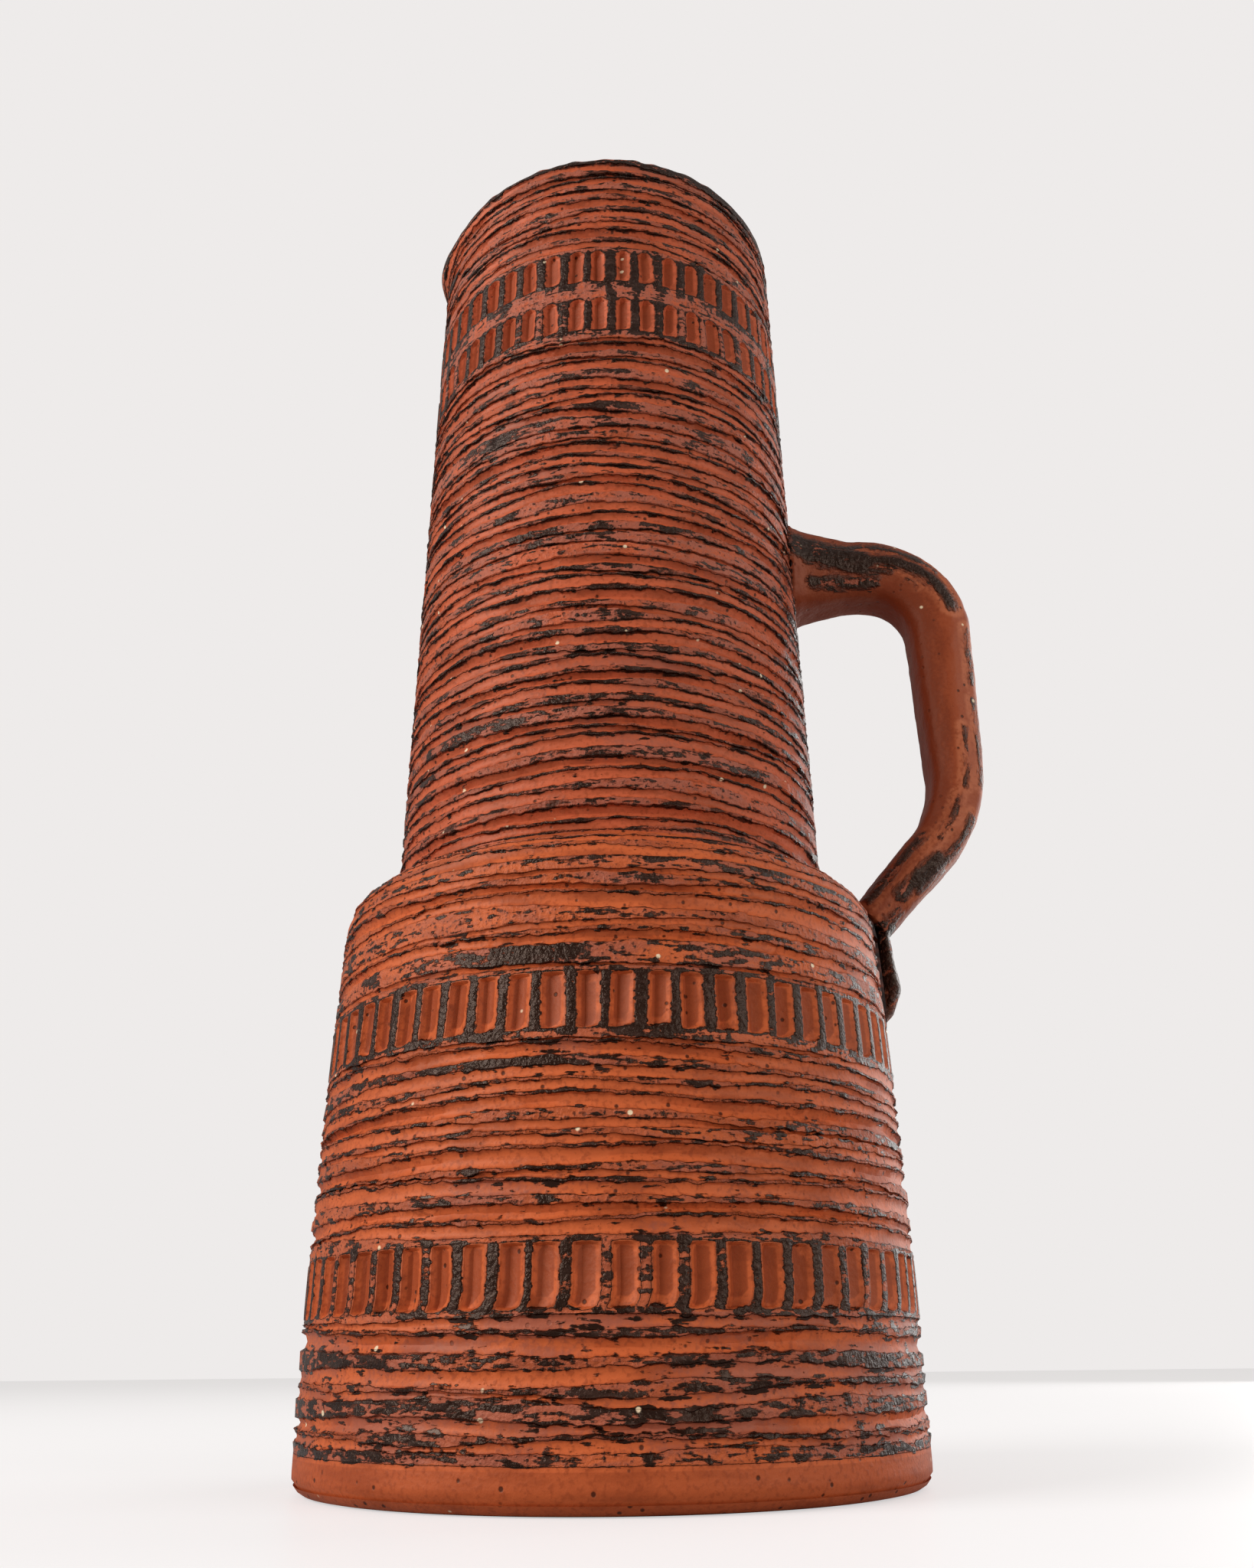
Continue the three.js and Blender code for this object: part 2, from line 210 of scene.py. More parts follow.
# Slip wiped on the sides of the handle, in mm: start and end along the strap, out from its middle
# at the start and at the end, half the width of the stroke, and how thick the slip lies
HANDLE_STROKES = (
    (0, 10, 5.0, 3.0, 5.0, 0.9),
    (8, 24, 2.0, -0.6, 4.4, 1.15),
    (20, 38, -0.4, 1.2, 1.9, 1.1),
    (34, 54, 1.4, 3.6, 2.2, 1.3),
    (14, 44, 4.8, 5.8, 1.4, 0.8),
    (22, 34, -3.4, -2.6, 0.9, 0.8),
    (8, 29, -7.8, -6.8, 1.8, 0.7),
    (40, 44, -2.6, -2.2, 0.5, 0.9),
    (62, 80, 6.8, 6.4, 0.6, 0.5),
    (86, 112, 6.4, 6.0, 0.5, 0.5),
    (96, 114, 1.8, 1.2, 0.4, 0.6),
    (118, 132, -0.4, -0.2, 0.5, 0.6),
    (122, 140, 5.2, 4.8, 0.7, 0.6),
    (138, 147, 3.6, 2.8, 2.6, 1.05),
    (144, 153, 2.4, 1.8, 1.9, 0.9),
    (134, 160, -4.2, -3.8, 1.0, 0.7),
    (156, 164, 4.4, 3.8, 0.9, 0.6),
)

# Clay of the handle that no stroke touched, and the share of its half width where its sides start
BARE_LIE = -3.0
BARE_INK = 0.6
SIDE_START = 0.3

# Haze by mm along the strap, and how much more its inside has, as painted shadow of the neck, with
# the depth and limits of that
HAZE_PLACES = (0, 14, 34, 56, 100, 130, 165)
HAZE_LEVELS = (0.6, 0.5, 0.3, -0.1, -0.15, 0.05, 0.3)
NECK_SHADOW_HAZE = 0.9
INSIDE_DEPTH = 8 * MM
INSIDE_LIMITS = (-0.2, 1.2)

# Slip on the tail: where it starts below the shoulder, how far out it reaches, how thick it is,
# and its lie by mm below the shoulder
TAIL_START = 5.5 * MM
TAIL_OUT = 12 * MM
TAIL_INK = 0.9
TAIL_PLACES = (6, 24, 32)
TAIL_LIE = (1.2, 0.9, 0.0)

# Stage: what the lamps look at, their places in metres, sizes in metres and powers in watts, and
# the camera that was solved from the photograph
LAMP_AIM = Vector((0, 0, 0.18))
LAMPS = (
    ("window_lamp", (-1.3, -0.7, 0.75), 1.0, 22.0),
    ("curtain_lamp", (1.1, 0.9, 0.6), 1.2, 10.0),
    ("fill_lamp", (1.2, -0.8, 0.5), 1.2, 9.5),
)
CAMERA_PLACE = (0.0050, -0.3485, 0.0259)
CAMERA_TILT = math.radians(90 + 24.16)
CAMERA_ROLL = -0.0103
CAMERA_SENSOR = 36
CAMERA_LENS = 29.76


def linear(code):
    """A colour written as an sRGB hex code, as the linear values that shaders take."""
    parts = [int(code[i : i + 2], 16) / 255 for i in (1, 3, 5)]
    return tuple(c / 12.92 if c <= 0.04045 else ((c + 0.055) / 1.055) ** 2.4 for c in parts)


class VaseSizes(bpy.types.PropertyGroup):
    """Sizes of the thrown walls, the combing, the stamps and the handle."""

    foot_radius: FloatProperty(
        name="Foot radius", description="Radius of the lower body at the foot",
        default=0.0746, unit="LENGTH",
    )
    foot_edge: FloatProperty(
        name="Foot edge", description="Radius of the rounded edge under the foot",
        default=0.004, unit="LENGTH",
    )
    belly: FloatProperty(
        name="Belly", description="Swell of the lower body at half its height",
        default=0.001, unit="LENGTH",
    )
    shoulder_radius: FloatProperty(
        name="Shoulder radius", description="Radius of the wall under the shoulder",
        default=0.072, unit="LENGTH",
    )
    shoulder_round: FloatProperty(
        name="Shoulder rounding", description="Radius of the shoulder's curve",
        default=0.010, unit="LENGTH",
    )
    shoulder_rise: FloatProperty(
        name="Shoulder rise", description="Rise of the shoulder's top towards the neck",
        default=0.0008, unit="LENGTH",
    )
    body_height: FloatProperty(
        name="Body height", description="Height of the shoulder above the foot",
        default=0.1415, unit="LENGTH",
    )
    body_wall: FloatProperty(
        name="Body wall", description="Thickness of the lower body's wall",
        default=0.0075, unit="LENGTH",
    )
    floor_thickness: FloatProperty(
        name="Floor thickness", description="Thickness of the vase's floor",
        default=0.009, unit="LENGTH",
    )
    gallery_depth: FloatProperty(
        name="Gallery depth", description="How far the neck sinks in the shoulder",
        default=0.004, unit="LENGTH",
    )
    neck_foot: FloatProperty(
        name="Neck foot", description="Height of the neck's lower end",
        default=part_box("neck")[0].z, unit="LENGTH",
    )
    neck_radius: FloatProperty(
        name="Neck radius", description="Radius of the neck at its lower end",
        default=0.059, unit="LENGTH",
    )
    rim_radius: FloatProperty(
        name="Rim radius", description="Radius of the neck at the rim",
        default=0.0554, unit="LENGTH",
    )
    rim_height: FloatProperty(
        name="Rim height", description="Height of the rim above the foot",
        default=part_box("neck")[1].z, unit="LENGTH",
    )
    neck_wall: FloatProperty(
        name="Neck wall", description="Thickness of the neck at its lower end",
        default=0.0065, unit="LENGTH",
    )
    rim_wall: FloatProperty(
        name="Rim wall", description="Thickness of the neck at the rim",
        default=0.005, unit="LENGTH",
    )
    lip_reach: FloatProperty(
        name="Lip reach", description="How far the pouring lip is pulled out",
        default=0.0034, unit="LENGTH",
    )
    lip_height: FloatProperty(
        name="Lip height", description="How far below the rim the lip starts",
        default=0.008, unit="LENGTH",
    )
    lip_combing: FloatProperty(
        name="Lip combing", description="How far below the rim the lip's own combing starts",
        default=0.014, unit="LENGTH",
    )
    lip_turn: FloatProperty(
        name="Lip turn", description="Turn from the handle to the lip",
        default=math.radians(185), subtype="ANGLE",
    )
    lip_spread: FloatProperty(
        name="Lip spread", description="Half the turn that the lip spreads over",
        default=math.radians(16), subtype="ANGLE",
    )
    comb_pitch: FloatProperty(
        name="Comb pitch", description="Height from one main combed groove to the next",
        default=0.012, unit="LENGTH",
    )
    side_groove: FloatProperty(
        name="Side groove", description="Height of the grooves on each side of a main one",
        default=0.0029, unit="LENGTH",
    )
    side_depth: FloatProperty(
        name="Side depth", description="Depth of the grooves on each side of a main one",
        default=0.0007, unit="LENGTH",
    )
    body_groove: FloatProperty(
        name="Body groove", description="Height of a main groove on the lower body",
        default=0.0035, unit="LENGTH",
    )
    neck_groove: FloatProperty(
        name="Neck groove", description="Height of a main groove on the neck",
        default=0.0035, unit="LENGTH",
    )
    body_comb: FloatProperty(
        name="Body combing", description="Depth of the combing on the lower body",
        default=0.001, unit="LENGTH",
    )
    neck_comb: FloatProperty(
        name="Neck combing", description="Depth of the combing on the neck",
        default=0.0012, unit="LENGTH",
    )
    plain_foot: FloatProperty(
        name="Plain foot", description="Height under the combing of the lower body",
        default=0.009, unit="LENGTH",
    )
    plain_neck: FloatProperty(
        name="Plain neck", description="Height under the combing of the neck",
        default=0.002, unit="LENGTH",
    )
    band_margin: FloatProperty(
        name="Band margin", description="Plain height above and below a stamped band",
        default=0.0007, unit="LENGTH",
    )
    stamp_height: FloatProperty(
        name="Stamp height", description="Height of a stamped flute",
        default=0.0126, unit="LENGTH",
    )
    stamp_depth: FloatProperty(
        name="Stamp depth", description="Depth of a stamped flute",
        default=0.0017, unit="LENGTH",
    )
    body_stamps: IntProperty(
        name="Body stamps", description="Flutes in each band of the lower body",
        default=60, min=12,
    )
    neck_stamps: IntProperty(
        name="Neck stamps", description="Flutes in each band of the neck",
        default=49, min=12,
    )
    low_band: FloatProperty(
        name="Low band", description="Height of the middle of the lowest band",
        default=0.0424, unit="LENGTH",
    )
    high_band: FloatProperty(
        name="High band", description="Height of the middle of the band under the shoulder",
        default=0.0986, unit="LENGTH",
    )
    lower_neck_band: FloatProperty(
        name="Lower neck band", description="Its middle, below the rim",
        default=0.0657, unit="LENGTH",
    )
    upper_neck_band: FloatProperty(
        name="Upper neck band", description="Its middle, below the rim",
        default=0.0466, unit="LENGTH",
    )
    handle_width: FloatProperty(
        name="Handle width", description="Width of the strap",
        default=0.022, unit="LENGTH",
    )
    handle_top: FloatProperty(
        name="Handle top thickness", description="Thickness of the strap at the neck",
        default=0.0222, unit="LENGTH",
    )
    handle_end: FloatProperty(
        name="Handle end thickness", description="Thickness of the strap at the shoulder",
        default=0.0122, unit="LENGTH",
    )
    handle_height: FloatProperty(
        name="Handle height", description="Height of the strap's top run above the shoulder",
        default=0.1113, unit="LENGTH",
    )
    handle_reach: FloatProperty(
        name="Handle reach", description="How far the strap stands off the neck",
        default=0.0443, unit="LENGTH",
    )


class VaseFinish(bpy.types.PropertyGroup):
    """Colours of the fired clays and of the slip, and of the shade painted on them."""

    body_clay: FloatVectorProperty(
        name="Body clay", description="Red clay of the lower body",
        subtype="COLOR", default=linear("#CC6234"),
    )
    neck_clay: FloatVectorProperty(
        name="Neck clay", description="Red clay of the neck",
        subtype="COLOR", default=linear("#C35C39"),
    )
    handle_clay: FloatVectorProperty(
        name="Handle clay", description="Smoothed clay of the handle",
        subtype="COLOR", default=linear("#B4623F"),
    )
    # Also painted shade: the sunk mark lays it deep in the wells and wide grooves, and as a darker
    # tone on plain and bare clay.
    deep_clay_and_shade: FloatVectorProperty(
        name="Deep clay", description="Clay fired darker in streaks",
        subtype="COLOR", default=linear("#923E1E"),
    )
    haze: FloatVectorProperty(
        name="Haze", description="Thin wash of slip over the clay",
        subtype="COLOR", default=linear("#A65C48"),
    )
    line: FloatVectorProperty(
        name="Line", description="Brown-black lines along broken edges",
        subtype="COLOR", default=linear("#381307"),
    )
    # Painted shade beside the edges of flats and grooves, as the shaded mark. On the handle it is
    # also the veil, which carries the painted shadow of the neck on the strap's inside.
    stain_and_shade: FloatVectorProperty(
        name="Stain", description="Clay browned beside a broken edge",
        subtype="COLOR", default=linear("#7A3219"),
    )
    thin_slip: FloatVectorProperty(
        name="Thin slip", description="Grey-brown of slip that was brushed thin",
        subtype="COLOR", default=linear("#4C352E"),
    )
    slip: FloatVectorProperty(
        name="Slip", description="Black slip on flats, lands and joints",
        subtype="COLOR", default=linear("#200C06"),
    )
    grit: FloatVectorProperty(
        name="Grit", description="Pale grit that shows in the clay",
        subtype="COLOR", default=linear("#F0D8B4"),
    )
    sheen: FloatVectorProperty(
        name="Sheen", description="Warm sheen of the fired skin",
        subtype="COLOR", default=linear("#FFDCC4"),
    )
    floor: FloatVectorProperty(
        name="Floor", description="Pale floor of the stage",
        subtype="COLOR", default=linear("#ECEAEA"),
    )


def add(tree, kind, inputs=None, **settings):
    """Adds a node, and gives each named input a value or a link from another node's output."""
    made = tree.nodes.new(kind)
    for key, value in settings.items():
        setattr(made, key, value)
    for key, value in (inputs or {}).items():
        if isinstance(value, bpy.types.NodeSocket):
            tree.links.new(value, made.inputs[key])
        else:
            made.inputs[key].default_value = value
    return made


def new_material(name):
    """A new material, its node tree and its shader."""
    material = bpy.data.materials.new(name)
    material.use_nodes = True
    tree = material.node_tree
    return material, tree, tree.nodes["Principled BSDF"]


# Stoneware clay, thrown and combed, fired red and matt, with black slip left on its raised parts.
# The eye sees clean orange in the grooves, a purple-brown wash and glossy black dashes on the
# flats, dark broken lines along their edges, pale grit and pinholes. Shade is painted as well: a
# brown band beside the edges of flats and grooves, and darker clay deep in the wells and wide
# grooves. The walls carry marks: lie, the distance in mm into a raised part from its edge, ink,
# how thick the slip on it is, haze, a wash that lies over grooves and flats alike, which on the
# handle also paints the neck's shadow on its inside, and drawn, the place along and across the
# way that the clay was drawn. Each kind of clay has its own wash, the most of it on the flats,
# tooth, the height of its grain, dash, the size of the noise that breaks its dark lines, broken,
# the level where they break off, crumbs, how readily crumbs show, fray, how far in mm blots break
# raised parts, soft, how soft the edges of these are, and drawn_scale, how much closer the noise
# lies along each way.
def combed_clay(
    name, clay, veil, finish, *, wash, tooth, dash, broken, crumbs, fray, soft, drawn_scale
):
    material, tree, shader = new_material(name)
    place = add(tree, "ShaderNodeTexCoord").outputs["Object"]
    course = add(tree, "ShaderNodeAttribute", attribute_name="drawn").outputs["Vector"]
    drawn = add(tree, "ShaderNodeMapping", {"Vector": course, "Scale": drawn_scale}).outputs[0]
    marks = {}
    for mark in ("lie", "ink", "haze"):
        marks[mark] = add(tree, "ShaderNodeAttribute", attribute_name=mark).outputs["Fac"]
    for mark, across, size, detail in (
        ("streak", drawn, 16 * MM, 6),
        ("blot", drawn, 6 * MM, 4),
        ("dash", drawn, dash, 5),
        ("crumb", drawn, 5 * MM, 3),
        ("grain", place, 1.1 * MM, 4),
    ):
        noise = {"Vector": across, "Scale": 1 / size, "Detail": detail}
        marks[mark] = add(tree, "ShaderNodeTexNoise", noise).outputs["Fac"]
    for mark, size in (("grit", 6 * MM), ("pore", 2.2 * MM)):
        cell = add(tree, "ShaderNodeTexVoronoi", {"Vector": place, "Scale": 1 / size})
        lot = add(tree, "ShaderNodeSeparateColor", {"Color": cell.outputs["Color"]})
        marks[mark + "_gap"] = cell.outputs["Distance"]
        marks[mark + "_lot"] = lot.outputs["Red"]

    # A groove keeps clear of crumbs, the more so the further from its edges
    least = {0: marks["lie"], 1: 0.0}
    marks["clear"] = add(tree, "ShaderNodeMath", least, operation="MINIMUM").outputs[0]

    # Noise breaks each mark's edge, and an offset takes back its mean
    for mark, base, offset, parts in (
        ("within", "lie", -0.4 - fray / 2, (("grain", 0.8), ("blot", fray))),
        ("thick", "ink", -2.4, (("blot", 3.2), ("grain", 1.6))),
        ("veil", "haze", -1.2, (("streak", 1.6), ("grain", 0.8))),
        ("ragged", "crumb", crumbs, (("grain", 0.2), ("haze", 0.1), ("clear", 0.07))),
    ):
        moved = {0: marks[base], 1: offset}
        total = add(tree, "ShaderNodeMath", moved, operation="ADD").outputs[0]
        for part, weight in parts:
            mixed = {0: marks[part], 1: weight, 2: total}
            total = add(tree, "ShaderNodeMath", mixed, operation="MULTIPLY_ADD").outputs[0]
        marks[mark] = total
    edge = {0: marks["within"]}
    marks["near"] = add(tree, "ShaderNodeMath", edge, operation="ABSOLUTE").outputs[0]
    thin = {0: marks["dash"], 1: -3.0, 2: marks["near"]}
    marks["beside"] = add(tree, "ShaderNodeMath", thin, operation="MULTIPLY_ADD").outputs[0]

    # Steps from none to most of each layer
    for mark, base, low, high, most in (
        ("raised", "within", -0.12 * soft, 0.15 * soft, 1.0),
        ("inked", "thick", 0.36, 0.64, 1.0),
        ("wiped", "thick", -0.9, 0.1, wash),
        ("lined", "beside", broken, broken - 0.3, 0.95),
        ("beaded", "beside", -1.54, -1.76, 1.0),
        # shaded is painted shade beside the edges of flats and grooves
        ("shaded", "near", 0.9, 0.1, 0.4),
        ("crumb", "ragged", 0.58, 0.65, 1.0),
        ("specked", "grain", 0.58, 0.68, 0.8),
        # sunk is painted shade deep in the wells and wide grooves, and a darker tone on plain and
        # bare clay
        ("sunk", "lie", -1.8, -3.0, 0.8),
        ("greyed", "blot", 0.5, 0.7, 0.5),
        ("veiled", "veil", -0.2, 0.5, 0.75),
        ("deep", "streak", 0.42, 0.68, 0.6),
        ("mottled", "grain", 0.48, 0.68, 0.55),
        ("pore_lot", "pore_lot", 0.80, 0.82, 0.9),
        ("pore_gap", "pore_gap", 0.28, 0.14, 1.0),
        ("grit_lot", "grit_lot", 0.8, 0.805, 1.0),
        ("grit_gap", "grit_gap", 0.12, 0.07, 1.0),
    ):
        levels = {"Value": marks[base], "From Min": low, "From Max": high, "To Max": most}
        step = add(tree, "ShaderNodeMapRange", levels, interpolation_type="SMOOTHSTEP")
        marks[mark] = step.outputs["Result"]
    for mark, first, second in (
        ("black", "raised", "inked"),
        ("washed", "raised", "wiped"),
        ("pitted", "pore_lot", "pore_gap"),
        ("gritty", "grit_lot", "grit_gap"),
        ("coarse", "raised", "grain"),
        ("specked", "raised", "specked"),
    ):
        both = {0: marks[first], 1: marks[second]}
        marks[mark] = add(tree, "ShaderNodeMath", both, operation="MULTIPLY").outputs[0]
    marks["dark"] = marks["black"]
    for mark in ("crumb", "beaded"):
        most = {0: marks["dark"], 1: marks[mark]}
        marks["dark"] = add(tree, "ShaderNodeMath", most, operation="MAXIMUM").outputs[0]

    slip = {0: marks["greyed"], 6: (*finish.slip, 1), 7: (*finish.thin_slip, 1)}
    slip = add(tree, "ShaderNodeMix", slip, data_type="RGBA").outputs[2]
    colour = (*clay, 1)
    for mark, paint in (
        ("deep", (*finish.deep_clay_and_shade, 1)),
        ("mottled", (*finish.deep_clay_and_shade, 1)),
        # painted shade deep in the wells and wide grooves, and a darker tone on plain and bare clay
        ("sunk", (*finish.deep_clay_and_shade, 1)),
        ("pitted", (*finish.line, 1)),
        ("veiled", (*veil, 1)),
        ("washed", (*finish.haze, 1)),
        # painted shade beside the edges of flats and grooves
        ("shaded", (*finish.stain_and_shade, 1)),
        ("specked", (*finish.line, 1)),
        ("lined", (*finish.line, 1)),
        ("dark", slip),
        ("gritty", (*finish.grit, 1)),
    ):
        layer = {0: marks[mark], 6: colour, 7: paint}
        colour = add(tree, "ShaderNodeMix", layer, data_type="RGBA").outputs[2]
    tree.links.new(colour, shader.inputs["Base Color"])

    # Slip is glossy where it is thick, and bare clay is matt
    sheen = {"Value": marks["dark"], "To Min": 0.5, "To Max": 0.2}
    rough = add(tree, "ShaderNodeMapRange", sheen).outputs["Result"]
    tree.links.new(rough, shader.inputs["Roughness"])
    shader.inputs["Specular IOR Level"].default_value = 0.34
    shader.inputs["Specular Tint"].default_value = (*finish.sheen, 1)

    # A fine tooth, pinholes, the broken edges of the flats, and slip that stands on the clay
    normal = None
    for mark, height in (
        ("grain", tooth),
        ("coarse", 0.45 * MM),
        ("pitted", -0.15 * MM),
        ("raised", 0.2 * MM),
        ("dark", 0.25 * MM),
    ):
        bump = add(tree, "ShaderNodeBump", {"Height": marks[mark], "Distance": height})
        if normal:
            tree.links.new(normal, bump.inputs["Normal"])
        normal = bump.outputs["Normal"]
    tree.links.new(normal, shader.inputs["Normal"])
    return material


# Black clay slip, brushed in the joints, fired to a satin skin with a fine tooth
def satin_slip(finish):
    material, tree, shader = new_material("black_slip")
    place = add(tree, "ShaderNodeTexCoord").outputs["Object"]
    noise = {"Vector": place, "Scale": 1 / (3 * MM), "Detail": 4}
    cloud = add(tree, "ShaderNodeTexNoise", noise).outputs["Fac"]
    levels = {"Value": cloud, "From Min": 0.45, "From Max": 0.75, "To Max": 0.6}
    tone = add(tree, "ShaderNodeMapRange", levels).outputs["Result"]
    layer = {0: tone, 6: (*finish.slip, 1), 7: (*finish.haze, 1)}
    colour = add(tree, "ShaderNodeMix", layer, data_type="RGBA").outputs[2]
    skin = add(tree, "ShaderNodeBump", {"Height": cloud, "Distance": 0.3 * MM})
    tree.links.new(colour, shader.inputs["Base Color"])
    tree.links.new(skin.outputs["Normal"], shader.inputs["Normal"])
    shader.inputs["Roughness"].default_value = 0.5
    return material


class WallLine:
    """A line up the outside of a wall: its points and outward directions by length along it."""

    def __init__(self, points):
        self.points = np.asarray(points)
        steps = np.hypot(*np.diff(self.points, axis=0).T)
        self.along = np.concatenate(([0], np.cumsum(steps)))
        course = np.gradient(self.points, self.along, axis=0)
        course /= np.linalg.norm(course, axis=1)[:, None]
        self.outward = np.column_stack((course[:, 1], -course[:, 0]))

    def at(self, along, values):
        """Values of the line's points, at lengths along it."""
        return [np.interp(along, self.along, values[:, axis]) for axis in (0, 1)]

    def length_at(self, height):
        """Length along the line at a height."""
        return float(np.interp(height, self.points[:, 1], self.along))


class Relief:
    """What the comb, the stamps and the hand do to the rows and columns of one wall."""

    def __init__(self, columns):
        self.columns = columns
        self.rows = []

    def lay(self, along, **marks):
        """Adds a row at a length along the wall, with its marks in each column."""
        self.rows.append((along, marks))

    def settle(self):
        """Sorts the rows, and makes a grid of each mark."""
        self.rows.sort(key=lambda row: row[0])
        self.along = np.array([along for along, _ in self.rows])
        self.marks = {}
        for name, plain in PLAIN.items():
            rows = [np.broadcast_to(marks.get(name, plain), self.columns) for _, marks in self.rows]
            self.marks[name] = np.array(rows)


def ring_noise(rng, count, columns, kind):
    """Rows of smooth noise that close round the wall, with the waves and the swing of one kind."""
    low, high, most = UNEVEN[kind]
    waves = np.arange(low, high + 1)
    angle = TURN * np.arange(columns) / columns
    swing = rng.normal(size=(count, len(waves))) / np.sqrt(waves)
    phase = rng.uniform(0, TURN, (count, len(waves)))
    noise = np.zeros((count, columns))
    for index, wave in enumerate(waves):
        noise += swing[:, index, None] * np.sin(wave * angle + phase[:, index, None])
    return most * noise / noise.std()


def round_gap(columns, column):
    """Columns from one column to each of the others, the shorter way round."""
    return np.abs((np.arange(columns) - column + columns / 2) % columns - columns / 2)


def lay_combing(relief, rng, low, high, comb):
    """Lays a combed stretch of wall: smooth grooves, with thin ragged flats between them.

    The middle tooth of the comb cuts deepest, and the grooves of the others close up here and
    there. A stretch too short for the comb stays flat.
    """
    columns = relief.columns
    grooves = TEETH * round((high - low) / comb.pitch)
    main = np.arange(grooves) % TEETH == TEETH // 2
    flats = grooves + 1
    bare = 0 if grooves else BARE_STRETCH
    ink = comb.ink - bare + ring_noise(rng, flats, columns, "ink")
    haze = comb.haze + ring_noise(rng, flats, columns, "haze")
    edges = np.empty((2 * grooves, columns))
    if grooves:
        step = (high - low) / grooves
        middles = low + (np.arange(grooves) + 0.5 + rng.normal(0, GROOVE_SPREAD, grooves)) * step
        halves = np.where(main, comb.groove, comb.side_groove) / 2
        halves = halves * rng.uniform(*GROOVE_HEIGHTS, grooves)
        closed = np.clip(1 + ring_noise(rng, grooves, columns, "closing"), *CLOSING_LIMITS)
        spread = halves[:, None] * np.where(main[:, None], 1, closed)
        middles = middles[:, None] + ring_noise(rng, grooves, columns, "wander")
        edges[0::2], edges[1::2] = middles - spread, middles + spread
        edges += ring_noise(rng, 2 * grooves, columns, "edge")
    edges = np.vstack((np.full(columns, low), edges, np.full(columns, high)))
    for line in range(1, 2 * grooves + 1):
        edges[line] = np.maximum(edges[line], edges[line - 1] + EDGE_STEP)
    edges[:-1] = np.minimum(edges[:-1], high - LAST_STEP)
    burr = np.clip(ring_noise(rng, 2 * flats, columns, "burr") + BURR_MEAN, 0, BURR_MOST)
    burr[[0, -1]] = 0

    def lay(along, **marks):
        relief.lay(along.mean(), rise=along - along.mean(), **marks)

    for flat in range(flats):
        under, over = edges[2 * flat], edges[2 * flat + 1]
        lie = EDGE_LIE + (over - under) / 4 / MM
        for line in (2 * flat, 2 * flat + 1):
            inside = OUTER_LIE if line in (0, 2 * flats - 1) else lie
            lay(edges[line], out=burr[line], lie=inside, ink=ink[flat], haze=haze[flat])
    for line in range(grooves):
        under, over = edges[2 * line + 1], edges[2 * line + 2]
        depth = comb.depth if main[line] else comb.side_depth
        sunk = depth * rng.uniform(*GROOVE_DEPTHS)
        sunk = sunk * np.clip(1 + ring_noise(rng, 1, columns, "depth")[0], *DEPTH_LIMITS)
        fill = (haze[line] + haze[line + 1]) / 2 - GROOVE_WIPED
        for share, press in GROOVE_SHAPE:
            inks = ink[line] if share < 0.5 else ink[line + 1]
            lie = -min(share, 1 - share) * (over - under) / MM
            lay(under + share * (over - under), out=-press * sunk, lie=lie, ink=inks, haze=fill)


def lay_band(relief, rng, low, high, band):
    """Lays a band of stamped flutes, each a little out of line, with slip on the lands between."""
    height, count = high - low, band.count
    middle = rng.normal(0, STAMP_SPREAD, count)
    width = (1 - band.land) * rng.uniform(*STAMP_WIDTHS, count)
    lean = rng.normal(0, STAMP_LEAN, count)
    slant = rng.normal(*STAMP_SLANT, count) * MM
    sunk = band.depth * rng.uniform(*STAMP_DEPTHS, count)
    black = np.clip(band.ink + ring_noise(rng, 1, count, "land")[0], *LAND_INKS)
    across = np.concatenate(([0], 2 * WELL_PLACES - 1))
    deep = np.concatenate(([0], WELL_DEPTHS))
    land = np.arange(STAMP_COLUMNS) == 0
    left = np.arange(STAMP_COLUMNS) < STAMP_COLUMNS / 2
    for share, press in zip(BAND_ROWS, BAND_PRESS):
        hooked = band.hook * np.clip(1 - share / BAND_END, 0, 1) ** 2
        swing = middle + lean * (2 * share - 1) - hooked
        places = 0.5 + swing[:, None] + across[None, :] / 2 * width[:, None]
        places[:, 0] = (places[:, 1] + np.roll(places[:, -1], 1) - 1) / 2
        shift = (places - np.arange(STAMP_COLUMNS) / STAMP_COLUMNS) * TURN / count
        end = min(share, 1 - share)
        side = (1 - np.abs(across)) / 2 * width[:, None] * band.pitch
        inside = np.minimum(side, end * height)
        lie = EDGE_LIE - band.bare / MM - 2 * inside / MM - deep * press
        lie[:, 0] = (band.land * band.pitch / 2 - band.bare) / MM
        round_off = max(1 - end / BAND_END, 0)
        arch = band.foot_arch if share < 0.5 else -band.head_arch
        rise = (arch * across**2 + slant[:, None] * across * (share < 0.5)) * round_off
        ink = np.where(left, black[:, None], np.roll(black, -1)[:, None])
        relief.lay(
            low + share * height,
            out=(band.round * land * press - sunk[:, None] * deep * press).ravel(),
            rise=rise.ravel(),
            turn=shift.ravel(),
            lie=lie.ravel(),
            ink=ink.ravel(),
            haze=BAND_HAZE,
        )


def lay_bands(relief, rng, line, start, sizes, comb, band, places):
    """Combs a wall from a start up to each of its bands, stamps these, and returns their ends.

    A place is the middle of a band, the haze below it, the hook of its stamps and their land.
    """
    half, margin = sizes.stamp_height / 2, sizes.band_margin
    bands = []
    for middle, haze, hook, land in places:
        low, high = line.length_at(middle - half), line.length_at(middle + half)
        comb.haze, band.hook, band.land = haze, hook, land
        lay_combing(relief, rng, start, low - margin, comb)
        lay_band(relief, rng, low, high, band)
        bands.append((low, high))
        start = high + margin
    return bands


